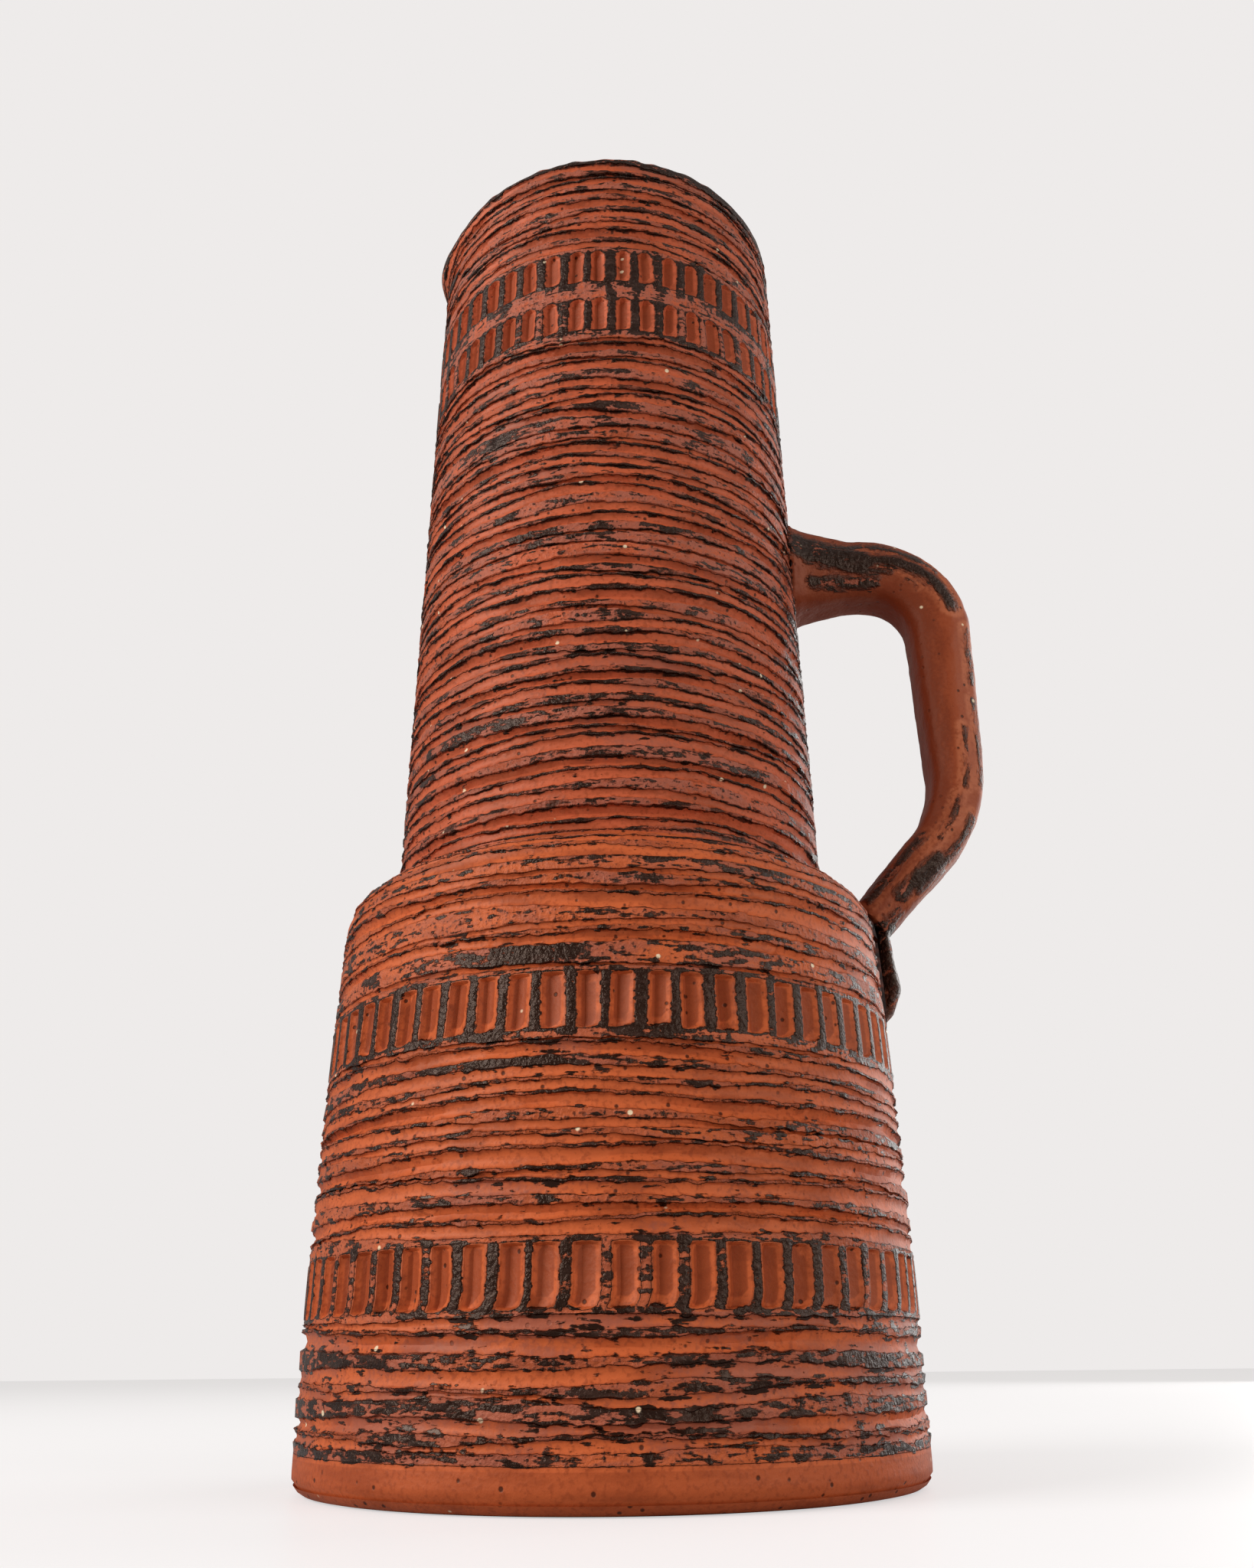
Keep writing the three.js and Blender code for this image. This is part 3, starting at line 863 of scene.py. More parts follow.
def ease_band(relief, low, high):
    """Lets the rows beside a band follow its stamps, less and less."""
    turn, along = relief.marks["turn"], relief.along
    inside = np.flatnonzero((along > low - WELD) & (along < high + WELD))
    for edge, end, beside in (
        (low, inside[0], (along < low) & (along > low - BAND_PULL)),
        (high, inside[-1], (along > high) & (along < high + BAND_PULL)),
    ):
        for row in np.flatnonzero(beside):
            turn[row] = turn[end] * (1 - abs(along[row] - edge) / BAND_PULL)


def drop_crumb(relief, along, column, tall, wide, column_width):
    """Leaves a crumb of slip at a length along the wall and a column round it."""
    marks = relief.marks
    aside = round_gap(relief.columns, column) * column_width / wide
    columns = np.flatnonzero(aside < CRUMB_REACH)
    rows = np.flatnonzero(np.abs(relief.along - along) < CRUMB_REACH * tall + CRUMB_SLACK)
    grid = (rows[:, None], columns[None, :])
    above = relief.along[rows, None] + marks["rise"][grid] - along
    gap = np.hypot(above / tall, aside[columns][None, :])
    marks["lie"][grid] = np.maximum(marks["lie"][grid], EDGE_LIE + (1 - gap) * tall / MM)
    ink = marks["ink"][grid]
    inked = np.maximum(ink, CRUMB_INK - CRUMB_THINS * gap)
    marks["ink"][grid] = np.where(gap < CRUMB_INKED, inked, ink)
    marks["out"][grid] += CRUMB_STANDS * tall * np.clip(1 - gap**2, 0, 1)


def crumble_ends(relief, rng, low, high, band, column_width):
    """Leaves slip pushed up at the ends of the lands and of the stamps."""
    for stamp in range(band.count):
        land = stamp * STAMP_COLUMNS
        for share, along, column in (
            (band.head_crumbs, high + 0.3 * MM, land),
            (band.foot_crumbs, low - 0.2 * MM, land - STAMP_COLUMNS * band.hook),
            (band.foot_crumbs, low - 0.1 * MM, land + STAMP_COLUMNS / 2),
            (band.foot_crumbs - 0.4, low - 0.9 * MM, land + STAMP_COLUMNS / 4),
        ):
            if rng.random() < share:
                column += rng.normal(0, CRUMB_ASIDE)
                tall = rng.uniform(*CRUMB_HEIGHTS) * MM
                wide = rng.uniform(*CRUMB_WIDTHS) * MM
                along += rng.normal(0, CRUMB_SPREAD) * MM
                drop_crumb(relief, along, column, tall, wide, column_width)


def pick(*pieces):
    """Selects pieces and nothing else, with the first of them active."""
    bpy.ops.object.select_all(action="DESELECT")
    for piece in pieces:
        piece.select_set(True)
    bpy.context.view_layer.objects.active = pieces[0]


def apply_modifier(piece, kind, **settings):
    """Adds a modifier to a piece, sets it and applies it."""
    pick(piece)
    modifier = piece.modifiers.new(kind.lower(), kind)
    for key, value in settings.items():
        setattr(modifier, key, value)
    bpy.ops.object.modifier_apply(modifier=modifier.name)


def spun_shell(name, outline, columns, closed):
    """Draws an outline of radius and height by extruding a vertex, and spins it about the axis.

    Each vertex keeps the number of its row in the outline, for the work of the hand that follows.
    """
    bpy.ops.object.select_all(action="DESELECT")
    bpy.ops.mesh.primitive_plane_add(size=MM)
    shell = bpy.context.object
    shell.name = shell.data.name = name
    bpy.ops.object.mode_set(mode="EDIT")
    bpy.ops.mesh.select_all(action="SELECT")
    bpy.ops.mesh.merge(type="CENTER")
    outline = np.asarray(outline)
    bpy.ops.transform.translate(value=(outline[0, 0], 0, outline[0, 1]))
    for step in np.diff(outline, axis=0):
        bpy.ops.mesh.extrude_vertices_move(TRANSFORM_OT_translate={"value": (step[0], 0, step[1])})
    bpy.ops.object.mode_set(mode="OBJECT")
    rows = shell.data.attributes.new("row", "FLOAT", "POINT")
    rows.data.foreach_set("value", np.arange(len(outline), dtype=np.float32))
    bpy.ops.object.mode_set(mode="EDIT")
    if closed:
        bpy.ops.mesh.select_all(action="DESELECT")
        bpy.ops.object.mode_set(mode="OBJECT")
        for end in (0, len(outline) - 1):
            shell.data.vertices[end].select = True
        bpy.ops.object.mode_set(mode="EDIT")
        bpy.ops.mesh.edge_face_add()
    bpy.ops.object.mode_set(mode="OBJECT")
    apply_modifier(
        shell,
        "SCREW",
        angle=TURN,
        axis="Z",
        steps=columns,
        render_steps=columns,
        merge_threshold=WELD,
        use_merge_vertices=True,
    )
    bpy.ops.object.mode_set(mode="EDIT")
    bpy.ops.mesh.select_all(action="SELECT")
    bpy.ops.mesh.remove_doubles(threshold=WELD)
    bpy.ops.mesh.normals_make_consistent(inside=False)
    bpy.ops.object.mode_set(mode="OBJECT")
    return shell


def read_places(piece):
    """The place of each vertex of a piece."""
    places = np.empty(len(piece.data.vertices) * 3, np.float32)
    piece.data.vertices.foreach_get("co", places)
    return places.reshape(-1, 3)


def read_grid(shell, columns):
    """The row and the column of each vertex of a spun shell."""
    places = read_places(shell)
    rows = np.empty(len(places), np.float32)
    shell.data.attributes["row"].data.foreach_get("value", rows)
    shell.data.attributes.remove(shell.data.attributes["row"])
    turn = np.arctan2(places[:, 1], places[:, 0]) % TURN
    turn[np.hypot(places[:, 0], places[:, 1]) < 0.01 * MM] = 0
    return np.rint(rows).astype(int), np.rint(turn / TURN * columns).astype(int) % columns


def write_mesh(piece, places, drawn=None, **marks):
    """Moves a piece's vertices, and stores what marks them and the way they were drawn."""
    piece.data.vertices.foreach_set("co", np.ascontiguousarray(places, np.float32).ravel())
    if drawn is not None:
        course = piece.data.attributes.new("drawn", "FLOAT_VECTOR", "POINT")
        course.data.foreach_set("vector", np.ascontiguousarray(drawn, np.float32).ravel())
    for name, values in marks.items():
        mark = piece.data.attributes.new(name, "FLOAT", "POINT")
        mark.data.foreach_set("value", np.ascontiguousarray(values, np.float32))
    piece.data.update()


def finish_piece(piece, material, node):
    """Smooths a piece, gives it its material and its body, and hides the model's part that it
    replaces.
    """
    pick(piece)
    bpy.ops.object.shade_smooth_by_angle(angle=SHARP)
    piece.data.materials.clear()
    piece.data.materials.append(material)
    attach(piece, "root")
    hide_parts(node)


def arc(centre, radius, start, end, steps):
    """Points of an arc in the plane of radius and height, in radians from the outward direction."""
    angle = np.linspace(start, end, steps)
    return np.column_stack((centre[0] + radius * np.cos(angle), centre[1] + radius * np.sin(angle)))


def body_line(sizes):
    """Outside of the lower body, from the foot's edge over the shoulder to the neck."""
    edge = sizes.foot_edge
    start = sizes.body_height - sizes.shoulder_rise - sizes.shoulder_round
    heights = np.linspace(edge, start, 200)[1:-1]
    swell = sizes.belly * np.sin(math.pi * heights / start)
    taper = (sizes.shoulder_radius - sizes.foot_radius) * heights / start
    radii = sizes.foot_radius + taper + swell
    foot = arc((sizes.foot_radius - edge, edge), edge, -math.pi / 2, 0, 16)
    centre = (sizes.shoulder_radius - sizes.shoulder_round, start)
    shoulder = arc(centre, sizes.shoulder_round, 0, SHOULDER_END, 30)
    joint = np.array((sizes.neck_radius, sizes.body_height)) + np.array(JOINT_FILLET) * MM
    return WallLine(np.vstack((foot, np.column_stack((radii, heights)), shoulder, joint)))


def neck_taper(sizes, height, foot, rim):
    """Radius of the neck at a height, from what it has at its lower end and at the rim."""
    share = (height - sizes.neck_foot) / (sizes.rim_height - sizes.neck_foot)
    return foot + (rim - foot) * share


def neck_line(sizes):
    """Outside of the neck, from its lower end to the rounding of the rim."""
    heights = np.linspace(sizes.neck_foot, sizes.rim_height - RIM_ROUND, 60)
    radii = neck_taper(sizes, heights, sizes.neck_radius, sizes.rim_radius)
    return WallLine(np.column_stack((radii, heights)))


def place_wall(shell, line, relief, outline, rim_rows=0, lip=None):
    """Moves a shell's vertices to where the comb and the stamps leave them, and inks its rim."""
    row, column = read_grid(shell, relief.columns)
    turn = TURN * column / relief.columns
    radius, height = outline[row, 0], outline[row, 1]
    worked = np.flatnonzero(row < len(relief.along))
    grid = (row[worked], column[worked])
    along = np.clip(relief.along[row[worked]] + relief.marks["rise"][grid], 0, line.along[-1])
    at, outward = line.at(along, line.points), line.at(along, line.outward)
    radius[worked] = at[0] + outward[0] * relief.marks["out"][grid]
    height[worked] = at[1] + outward[1] * relief.marks["out"][grid]
    turn[worked] += relief.marks["turn"][grid]
    if lip is not None:
        pull, lift = lip(height, turn, column)
        radius += pull
        height += lift
    seen = {}
    for name in ("lie", "ink", "haze"):
        seen[name] = np.full(len(row), PLAIN[name])
        seen[name][worked] = relief.marks[name][grid]
    past = row - len(relief.along)
    rim = (past >= 0) & (past < rim_rows)
    seen["ink"][rim], seen["lie"][rim] = RIM_INK, RIM_LIE
    places = np.column_stack((radius * np.cos(turn), radius * np.sin(turn), height))
    write_mesh(shell, places, places, **seen)


class VASE_OT_lower_body(bpy.types.Operator):
    """Throws the lower body, combs it, and stamps its two bands of flutes"""

    bl_idname = "vase.lower_body"
    bl_label = "Lower Body"

    def execute(self, context):
        sizes = context.scene.vase_sizes
        rng = np.random.default_rng(SEED)
        relief = Relief(STAMP_COLUMNS * sizes.body_stamps)
        line = body_line(sizes)
        pitch = TURN * sizes.foot_radius / sizes.body_stamps
        column_width = pitch / STAMP_COLUMNS
        foot = line.length_at(sizes.plain_foot)
        bend = line.length_at(sizes.body_height - sizes.shoulder_rise - sizes.shoulder_round)
        top = line.along[-1] - PLAIN_JOINT
        comb = SimpleNamespace(
            pitch=sizes.comb_pitch,
            groove=sizes.body_groove,
            depth=sizes.body_comb,
            side_groove=sizes.side_groove,
            side_depth=BODY_SIDE_DEPTH * sizes.side_depth,
            ink=-0.15,
        )
        band = SimpleNamespace(
            count=sizes.body_stamps,
            pitch=pitch,
            depth=sizes.stamp_depth,
            ink=1.3,
            bare=0.4 * MM,
            round=0.25 * MM,
            foot_arch=0.5 * MM,
            head_arch=0.2 * MM,
            head_crumbs=0.6,
            foot_crumbs=0.45,
        )
        # The stretch below the low band gets more haze than the others, so the body is darker
        # towards the foot
        places = ((sizes.low_band, 0.4, 0.13, 0.36), (sizes.high_band, -0.3, 0.02, 0.38))
        bands = lay_bands(relief, rng, line, foot, sizes, comb, band, places)
        lay_combing(relief, rng, bands[-1][1] + sizes.band_margin, bend, comb)
        lay_combing(relief, rng, bend + BEND_GAP, top, comb)
        for along in np.linspace(0, foot, 9)[:-1]:
            relief.lay(along)
        for along in np.linspace(top, line.along[-1], 8)[1:]:
            relief.lay(along)
        relief.settle()
        for low, high in bands:
            ease_band(relief, low, high)
            crumble_ends(relief, rng, low, high, band, column_width)

        inner = sizes.foot_radius - sizes.body_wall
        under = sizes.body_height - sizes.gallery_depth
        mouth = sizes.neck_radius - sizes.neck_wall
        shoulder = sizes.shoulder_radius - sizes.body_wall
        bow = np.linspace(math.pi / 2, 0, 6)
        inside_top = under - MOUTH_HEIGHT
        curve_foot = inside_top - INSIDE_DROP
        floor = sizes.floor_thickness
        corner = (inner - FLOOR_FILLET, floor + FLOOR_FILLET)
        straight = np.linspace(curve_foot - ABOVE_STRAIGHT, corner[1] + BELOW_STRAIGHT, 6)
        inside = [
            (sizes.neck_radius + NECK_CLEARANCE, under),
            (mouth, under),
            (mouth, inside_top),
            *zip(mouth + (shoulder - mouth) * np.cos(bow), curve_foot + INSIDE_DROP * np.sin(bow)),
            *zip(inner + (shoulder - inner) * np.linspace(0.9, 0, 6), straight),
            *arc(corner, FLOOR_FILLET, 0, -math.pi / 2, 5)[1:],
            *((radius, floor) for radius in np.linspace(corner[0], 0, 4)[1:]),
        ]
        foot_flat = sizes.foot_radius - sizes.foot_edge
        underside = [(radius, 0) for radius in np.linspace(0, foot_flat, 4)[:-1]]
        outside = np.column_stack(line.at(relief.along, line.points))
        outline = np.vstack((outside, inside, underside))
        shell = spun_shell("combed_lower_body", outline, relief.columns, True)
        place_wall(shell, line, relief, outline)
        finish = context.scene.vase_finish
        clay = combed_clay(
            "red_stoneware_body", finish.body_clay, finish.haze, finish,
            wash=0.4, tooth=0.14 * MM, dash=6 * MM, broken=-1.5,
            crumbs=-0.04, fray=0.4, soft=1, drawn_scale=(1, 1, 4),
        )
        finish_piece(shell, clay, "lower_body")
        return {"FINISHED"}


class VASE_OT_neck(bpy.types.Operator):
    """Throws the neck, combs it, stamps its two bands of flutes and pulls the pouring lip"""

    bl_idname = "vase.neck"
    bl_label = "Neck"

    def execute(self, context):
        sizes = context.scene.vase_sizes
        rng = np.random.default_rng(SEED + 1)
        relief = Relief(STAMP_COLUMNS * sizes.neck_stamps)
        line = neck_line(sizes)
        pitch = TURN * sizes.rim_radius / sizes.neck_stamps
        column_width = pitch / STAMP_COLUMNS
        end = line.along[-1]
        comb = SimpleNamespace(
            pitch=sizes.comb_pitch,
            groove=sizes.neck_groove,
            depth=sizes.neck_comb,
            side_groove=sizes.side_groove,
            side_depth=sizes.side_depth,
            ink=-0.1,
        )
        band = SimpleNamespace(
            count=sizes.neck_stamps,
            pitch=pitch,
            depth=sizes.stamp_depth,
            ink=1.0,
            bare=0.3 * MM,
            round=0.35 * MM,
            foot_arch=0.3 * MM,
            head_arch=1.5 * MM,
            head_crumbs=0.15,
            foot_crumbs=1.0,
        )
        foot = line.length_at(sizes.body_height + sizes.plain_neck)
        below = (sizes.lower_neck_band, sizes.upper_neck_band)
        places = [(sizes.rim_height - drop, -0.05, 0.04, 0.4) for drop in below]
        bands = lay_bands(relief, rng, line, foot, sizes, comb, band, places)
        lip_foot = line.length_at(sizes.rim_height - sizes.lip_combing)
        lay_combing(relief, rng, bands[-1][1] + sizes.band_margin, lip_foot, comb)
        lay_combing(relief, rng, lip_foot + LIP_GAP, end - RIM_GAP, comb)
        for along in (0, 1.5 * MM, 3 * MM):
            relief.lay(along)
        relief.lay(end, ink=RIM_INK, lie=RIM_LIE)
        relief.settle()
        near_rim = np.clip(1 - (end - relief.along) / NEAR_RIM, 0, 1)[:, None]
        relief.marks["ink"] += NEAR_RIM_INK * near_rim
        relief.marks["haze"] += NEAR_RIM_HAZE * near_rim
        for low, high in bands:
            ease_band(relief, low, high)
            crumble_ends(relief, rng, low, high, band, column_width)

        mouth = sizes.neck_radius - sizes.neck_wall
        inner = sizes.rim_radius - sizes.rim_wall
        level = sizes.rim_height - RIM_ROUND
        over = arc((sizes.rim_radius - RIM_ROUND, level), RIM_ROUND, 0, math.pi / 2, 5)[1:]
        back = arc((inner + RIM_ROUND, level), RIM_ROUND, math.pi / 2, math.pi, 5)
        close, last, plain = (sizes.rim_height - drop * MM for drop in BELOW_RIM)
        heights = (np.linspace(close, last, 4), np.linspace(plain, sizes.neck_foot, 5))
        heights = np.concatenate(heights)
        inside = np.column_stack((neck_taper(sizes, heights, mouth, inner), heights))
        outside = np.column_stack(line.at(relief.along, line.points))
        outline = np.vstack((outside, over, back, inside))

        waver = ring_noise(rng, 1, relief.columns, "rim")[0]

        def lip(height, turn, column):
            rise = np.clip((height - sizes.rim_height + sizes.lip_height) / sizes.lip_height, 0, 1)
            aside = (turn - sizes.lip_turn) / sizes.lip_spread
            pull = sizes.lip_reach * rise**2 * (3 - 2 * rise) * np.exp(-(aside**2))
            return pull, waver[column] * rise**3

        shell = spun_shell("combed_neck", outline, relief.columns, True)
        place_wall(shell, line, relief, outline, len(over) + len(back), lip)
        finish = context.scene.vase_finish
        clay = combed_clay(
            "red_stoneware_neck", finish.neck_clay, finish.haze, finish,
            wash=0.9, tooth=0.16 * MM, dash=9 * MM, broken=-1.16,
            crumbs=-0.075, fray=0.4, soft=1, drawn_scale=(1, 1, 4),
        )
        finish_piece(shell, clay, "neck")
        return {"FINISHED"}


def strap_line(sizes):
    """Middle line of the strap in the plane of radius and height, from inside the neck's wall."""
    top = sizes.body_height + sizes.handle_height
    wall = neck_taper(sizes, top, sizes.neck_radius, sizes.rim_radius)
    run = wall + sizes.handle_reach
    bend, elbow, slant = STRAP_BEND, STRAP_ELBOW, STRAP_SLANT
    landing = (sizes.shoulder_radius + LANDING_OUT, sizes.body_height)
    elbow_end = run - elbow * (1 - math.cos(slant))
    elbow_low = landing[1] + (elbow_end - landing[0]) / math.tan(slant)
    elbow_top = elbow_low + elbow * math.sin(slant)
    end = (landing[0] - END_SUNK * math.sin(slant), landing[1] - END_SUNK * math.cos(slant))
    points = np.vstack(
        (
            np.linspace((wall - ROOT_SUNK, top), (run - bend, top), 12)[:-1],
            arc((run - bend, top - bend), bend, math.pi / 2, 0, 24)[:-1],
            np.linspace((run, top - bend), (run, elbow_top), 20)[:-1],
            arc((run - elbow, elbow_top), elbow, 0, -slant, 20)[:-1],
            np.linspace((elbow_end, elbow_low), end, 14),
        )
    )
    return WallLine(points)


def tail_line(sizes):
    """Middle line of the handle's tail, from the strap's end down to its tip on the wall."""
    wall, shoulder = sizes.shoulder_radius, sizes.body_height
    return WallLine([(wall + out * MM, shoulder - drop * MM) for out, drop, _, _ in TAIL_COURSE])


def strap_section(wide, thick, ridge):
    """Points round a strap at each step: flat back and inside, with a ridge down each side."""
    nothing = np.zeros_like(wide)
    corners = [
        (-BACK_SHARE * wide, thick),
        (BACK_SHARE * wide, thick),
        (wide, ridge),
        (INSIDE_SHARE * wide, -thick),
        (-INSIDE_SHARE * wide, -thick),
        (-wide, ridge),
    ]
    corners = [np.stack((across + nothing, out + nothing)) for across, out in corners]
    corners = np.stack(corners, axis=-1)
    share = np.arange(STRAP_EDGE) / STRAP_EDGE
    edges = corners[..., None] * (1 - share) + np.roll(corners, -1, axis=-1)[..., None] * share
    points = edges.reshape(2, len(wide), -1)
    steps = enumerate(SOFT_EDGE, -(len(SOFT_EDGE) // 2))
    soft = sum(np.roll(points, step, axis=-1) * weight for step, weight in steps)
    return soft / sum(SOFT_EDGE)


def bend_rod(name, line, rows, wide, thick, ridge):
    """Spins a rod, gives it the strap's section at each row, and bends it on a line."""
    columns = 6 * STRAP_EDGE
    outline = np.column_stack((np.full(len(rows), ROD_RADIUS), rows))
    outline = np.vstack(((0, rows[0]), outline, (0, rows[-1])))
    rod = spun_shell(name, outline, columns, False)
    row, column = read_grid(rod, columns)
    inner = np.clip(row - 1, 0, len(rows) - 1)
    across, out = strap_section(wide, thick, ridge)[:, inner, column]
    middle = outline[row, 0] < MM
    across[middle] = out[middle] = 0
    at, inward = line.at(rows[inner], line.points), line.at(rows[inner], line.outward)
    # A line that runs out and then down has the strap's inside on the side it calls outward
    write_mesh(rod, np.column_stack((at[0] - inward[0] * out, across, at[1] - inward[1] * out)))
    return rod


class VASE_OT_handle(bpy.types.Operator):
    """Pulls the strap handle, bends it from the neck to the shoulder, and presses down its tail"""

    bl_idname = "vase.handle"
    bl_label = "Handle"

    def execute(self, context):
        sizes = context.scene.vase_sizes
        line = strap_line(sizes)
        rows = np.linspace(0, line.along[-1], 120)
        share = rows / rows[-1]
        root = np.clip(1 - (rows - ROOT_SUNK) / ROOT_REACH, 0, 1)
        root = root**2 * (3 - 2 * root)
        smear = ROOT_SMEAR * np.exp(-np.clip(rows - ROOT_SUNK, 0, None) / ROOT_SMEAR)
        wide = sizes.handle_width / 2 + ROOT_WIDER * root + smear
        taper = (sizes.handle_top + (sizes.handle_end - sizes.handle_top) * share) / 2
        thick = taper + (ROOT_HALF - taper) * root + smear
        ridge = np.interp(rows / MM, RIDGE_PLACES, RIDGE_OUTS) * MM
        strap = bend_rod("pulled_handle", line, rows, wide, thick, ridge)

        course = tail_line(sizes)
        rows = np.linspace(0, course.along[-1], 40)
        halves = np.array(TAIL_COURSE)[:, 2:] * MM
        wide, thick = (np.interp(rows, course.along, halves[:, axis]) for axis in (0, 1))
        tail = bend_rod("handle_tail", course, rows, wide, thick, 0.3 * thick)

        pick(strap, tail)
        bpy.ops.object.join()
        apply_modifier(strap, "REMESH", mode="VOXEL", voxel_size=0.6 * MM)
        apply_modifier(strap, "SMOOTH", factor=0.5, iterations=4)
        dents = bpy.data.textures.new("handle_dents", "CLOUDS")
        dents.noise_scale = 7 * MM
        apply_modifier(strap, "DISPLACE", texture=dents, strength=0.7 * MM, mid_level=0.5)

        places = read_places(strap)
        flat = places[:, (0, 2)]
        nearest = np.array([np.argmin(np.hypot(*(line.points - point).T)) for point in flat])
        inward = line.outward[nearest]
        from_line = flat - line.points[nearest]
        past = from_line[:, 1] * inward[:, 0] - from_line[:, 0] * inward[:, 1]
        along = line.along[nearest] + past
        out = -np.sum(from_line * inward, axis=1)
        side = np.abs(places[:, 1]) > SIDE_START * sizes.handle_width / 2
        lie = np.full(len(along), BARE_LIE)
        ink = np.full(len(along), BARE_INK)
        for start, end, low, high, half, thick in HANDLE_STROKES:
            run, rise = end - start, high - low
            part = np.clip((along / MM - start) / run, 0, 1)
            gap = np.hypot(along / MM - start - part * run, out / MM - low - part * rise)
            over = side & (half - gap > lie)
            lie[over] = (half - gap)[over]
            ink[over] = thick
        drop = sizes.body_height - places[:, 2]
        tailed = (drop > TAIL_START) & (places[:, 0] < sizes.shoulder_radius + TAIL_OUT)
        tail_lie = np.interp(drop[tailed] / MM, TAIL_PLACES, TAIL_LIE)
        lie[tailed] = np.maximum(lie[tailed], tail_lie)
        ink[tailed] = TAIL_INK
        haze = np.interp(along / MM, HAZE_PLACES, HAZE_LEVELS)
        # The neck's shadow on the strap's inside is painted: more haze there, in the
        # stain-and-shade colour
        haze += NECK_SHADOW_HAZE * np.clip(-out / INSIDE_DEPTH, *INSIDE_LIMITS)
        pulled = np.column_stack((out, places[:, 1], along))
        write_mesh(strap, places, pulled, lie=lie, ink=ink, haze=haze)
        finish = context.scene.vase_finish
        clay = combed_clay(
            "smoothed_stoneware_handle", finish.handle_clay, finish.stain_and_shade, finish,
            wash=0.7, tooth=0.16 * MM, dash=9 * MM, broken=-2.2,
            crumbs=-0.3, fray=4.0, soft=8, drawn_scale=(3.5, 3.5, 1),
        )
        finish_piece(strap, clay, "handle")
        return {"FINISHED"}


class VASE_OT_joints(bpy.types.Operator):
    """Gives the beds of slip in the three joints their finish"""

    bl_idname = "vase.joints"
    bl_label = "Joints"

    def execute(self, context):
        slip = satin_slip(context.scene.vase_finish)
        for node in ("shoulder_seam", "upper_handle_seam", "lower_handle_seam"):
            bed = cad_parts[node]
            bed.data.materials.clear()
            bed.data.materials.append(slip)
        return {"FINISHED"}


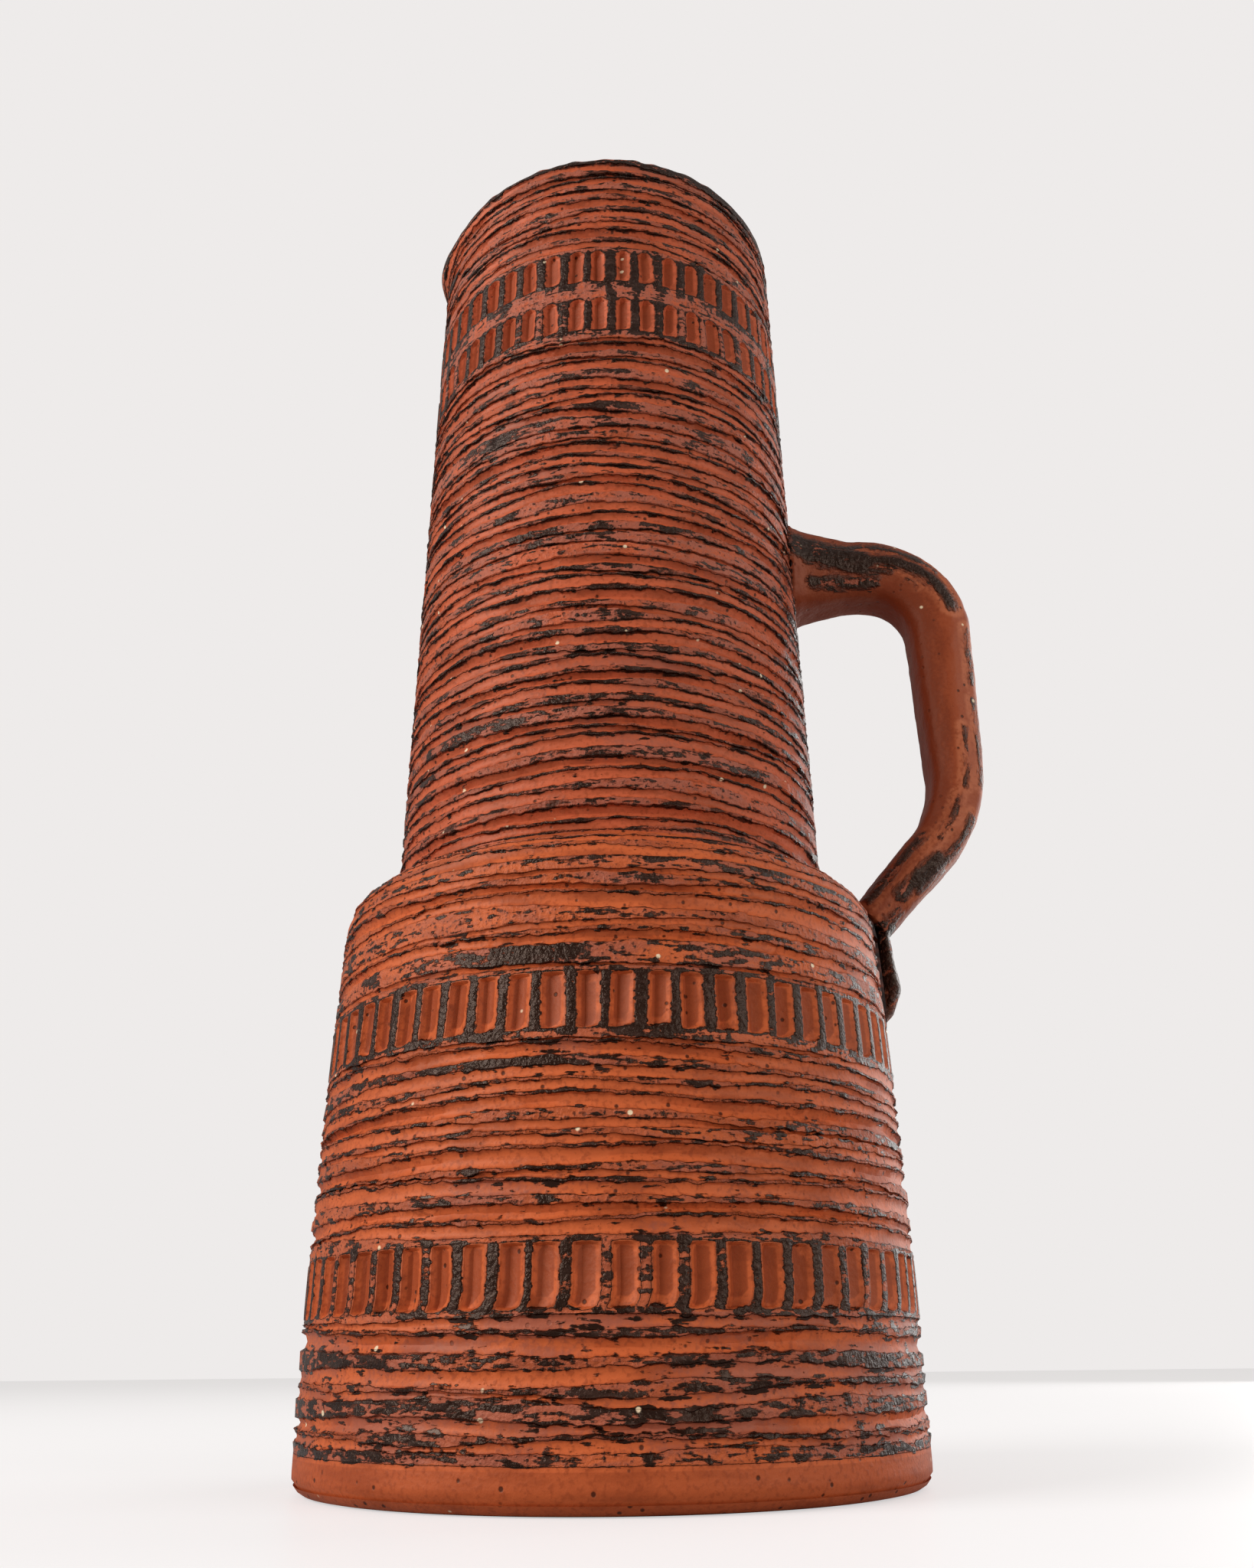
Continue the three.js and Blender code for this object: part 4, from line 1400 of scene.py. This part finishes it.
class VASE_OT_stage(bpy.types.Operator):
    """Lays the pale floor, sets the soft light and the camera"""

    bl_idname = "vase.stage"
    bl_label = "Stage"

    def execute(self, context):
        scene = context.scene
        finish = scene.vase_finish
        scene.view_settings.view_transform = "Standard"

        bpy.ops.object.select_all(action="DESELECT")
        bpy.ops.mesh.primitive_plane_add(size=8, location=(0, 0, -0.1 * MM))
        floor = context.object
        floor.name = "stage_floor"
        # White painted shelf, smooth and nearly matt. It is brighter to the camera than to the
        # vase, so it looks as pale as in the photograph and doesn't light the vase from below.
        paint, tree, shader = new_material("white_painted_shelf")
        shader.inputs["Base Color"].default_value = (*(0.55 * part for part in finish.floor), 1)
        shader.inputs["Roughness"].default_value = 0.4
        shader.inputs["Specular IOR Level"].default_value = 0.08
        shader.inputs["Emission Color"].default_value = (*finish.floor, 1)
        seen = add(tree, "ShaderNodeLightPath").outputs["Is Camera Ray"]
        lift = add(tree, "ShaderNodeMath", {0: seen, 1: 0.68}, operation="MULTIPLY")
        tree.links.new(lift.outputs[0], shader.inputs["Emission Strength"])
        floor.data.materials.append(paint)

        world = bpy.data.worlds.new("pale_room")
        scene.world = world
        world.use_nodes = True
        tree = world.node_tree
        tree.nodes.clear()
        path = add(tree, "ShaderNodeLightPath")
        room = {"Color": (*linear("#FFFAF4"), 1), "Strength": 0.3}
        room = add(tree, "ShaderNodeBackground", room)
        wall = {"Color": (*linear("#EEEBEA"), 1), "Strength": 1.0}
        wall = add(tree, "ShaderNodeBackground", wall)
        shown = {0: path.outputs["Is Camera Ray"], 1: room.outputs[0], 2: wall.outputs[0]}
        both = add(tree, "ShaderNodeMixShader", shown)
        add(tree, "ShaderNodeOutputWorld", {"Surface": both.outputs[0]})

        for name, place, size, power in LAMPS:
            bpy.ops.object.light_add(type="AREA", location=place)
            lamp = context.object
            lamp.name = name
            lamp.data.size = size
            lamp.data.energy = power
            aim = LAMP_AIM - Vector(place)
            lamp.rotation_euler = aim.to_track_quat("-Z", "Y").to_euler()

        bpy.ops.object.camera_add(location=CAMERA_PLACE)
        camera = context.object
        turned = Matrix.Rotation(CAMERA_TILT, 4, "X") @ Matrix.Rotation(CAMERA_ROLL, 4, "Z")
        camera.rotation_euler = turned.to_euler()
        camera.data.sensor_width = CAMERA_SENSOR
        camera.data.lens = CAMERA_LENS
        camera.data.clip_start = 0.01
        scene.camera = camera
        return {"FINISHED"}


class VASE_PT_pieces(bpy.types.Panel):
    """Lists the vase's pieces, sizes and colours"""

    bl_label = "Stoneware Vase"
    bl_space_type = "VIEW_3D"
    bl_region_type = "UI"
    bl_category = "Vase"

    def draw(self, context):
        for step in STEPS:
            self.layout.operator(step.bl_idname)
        for group in (context.scene.vase_sizes, context.scene.vase_finish):
            for name in group.__annotations__:
                self.layout.prop(group, name)


STEPS = (VASE_OT_lower_body, VASE_OT_neck, VASE_OT_handle, VASE_OT_joints, VASE_OT_stage)
CLASSES = (VaseSizes, VaseFinish, *STEPS, VASE_PT_pieces)


def register():
    for kind in CLASSES:
        bpy.utils.register_class(kind)
    bpy.types.Scene.vase_sizes = PointerProperty(type=VaseSizes)
    bpy.types.Scene.vase_finish = PointerProperty(type=VaseFinish)


def unregister():
    del bpy.types.Scene.vase_finish
    del bpy.types.Scene.vase_sizes
    for kind in reversed(CLASSES):
        bpy.utils.unregister_class(kind)


def main():
    register()
    bpy.ops.vase.lower_body()
    bpy.ops.vase.neck()
    bpy.ops.vase.handle()
    bpy.ops.vase.joints()
    bpy.ops.vase.stage()
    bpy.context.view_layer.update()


if __name__ == "__main__":
    main()
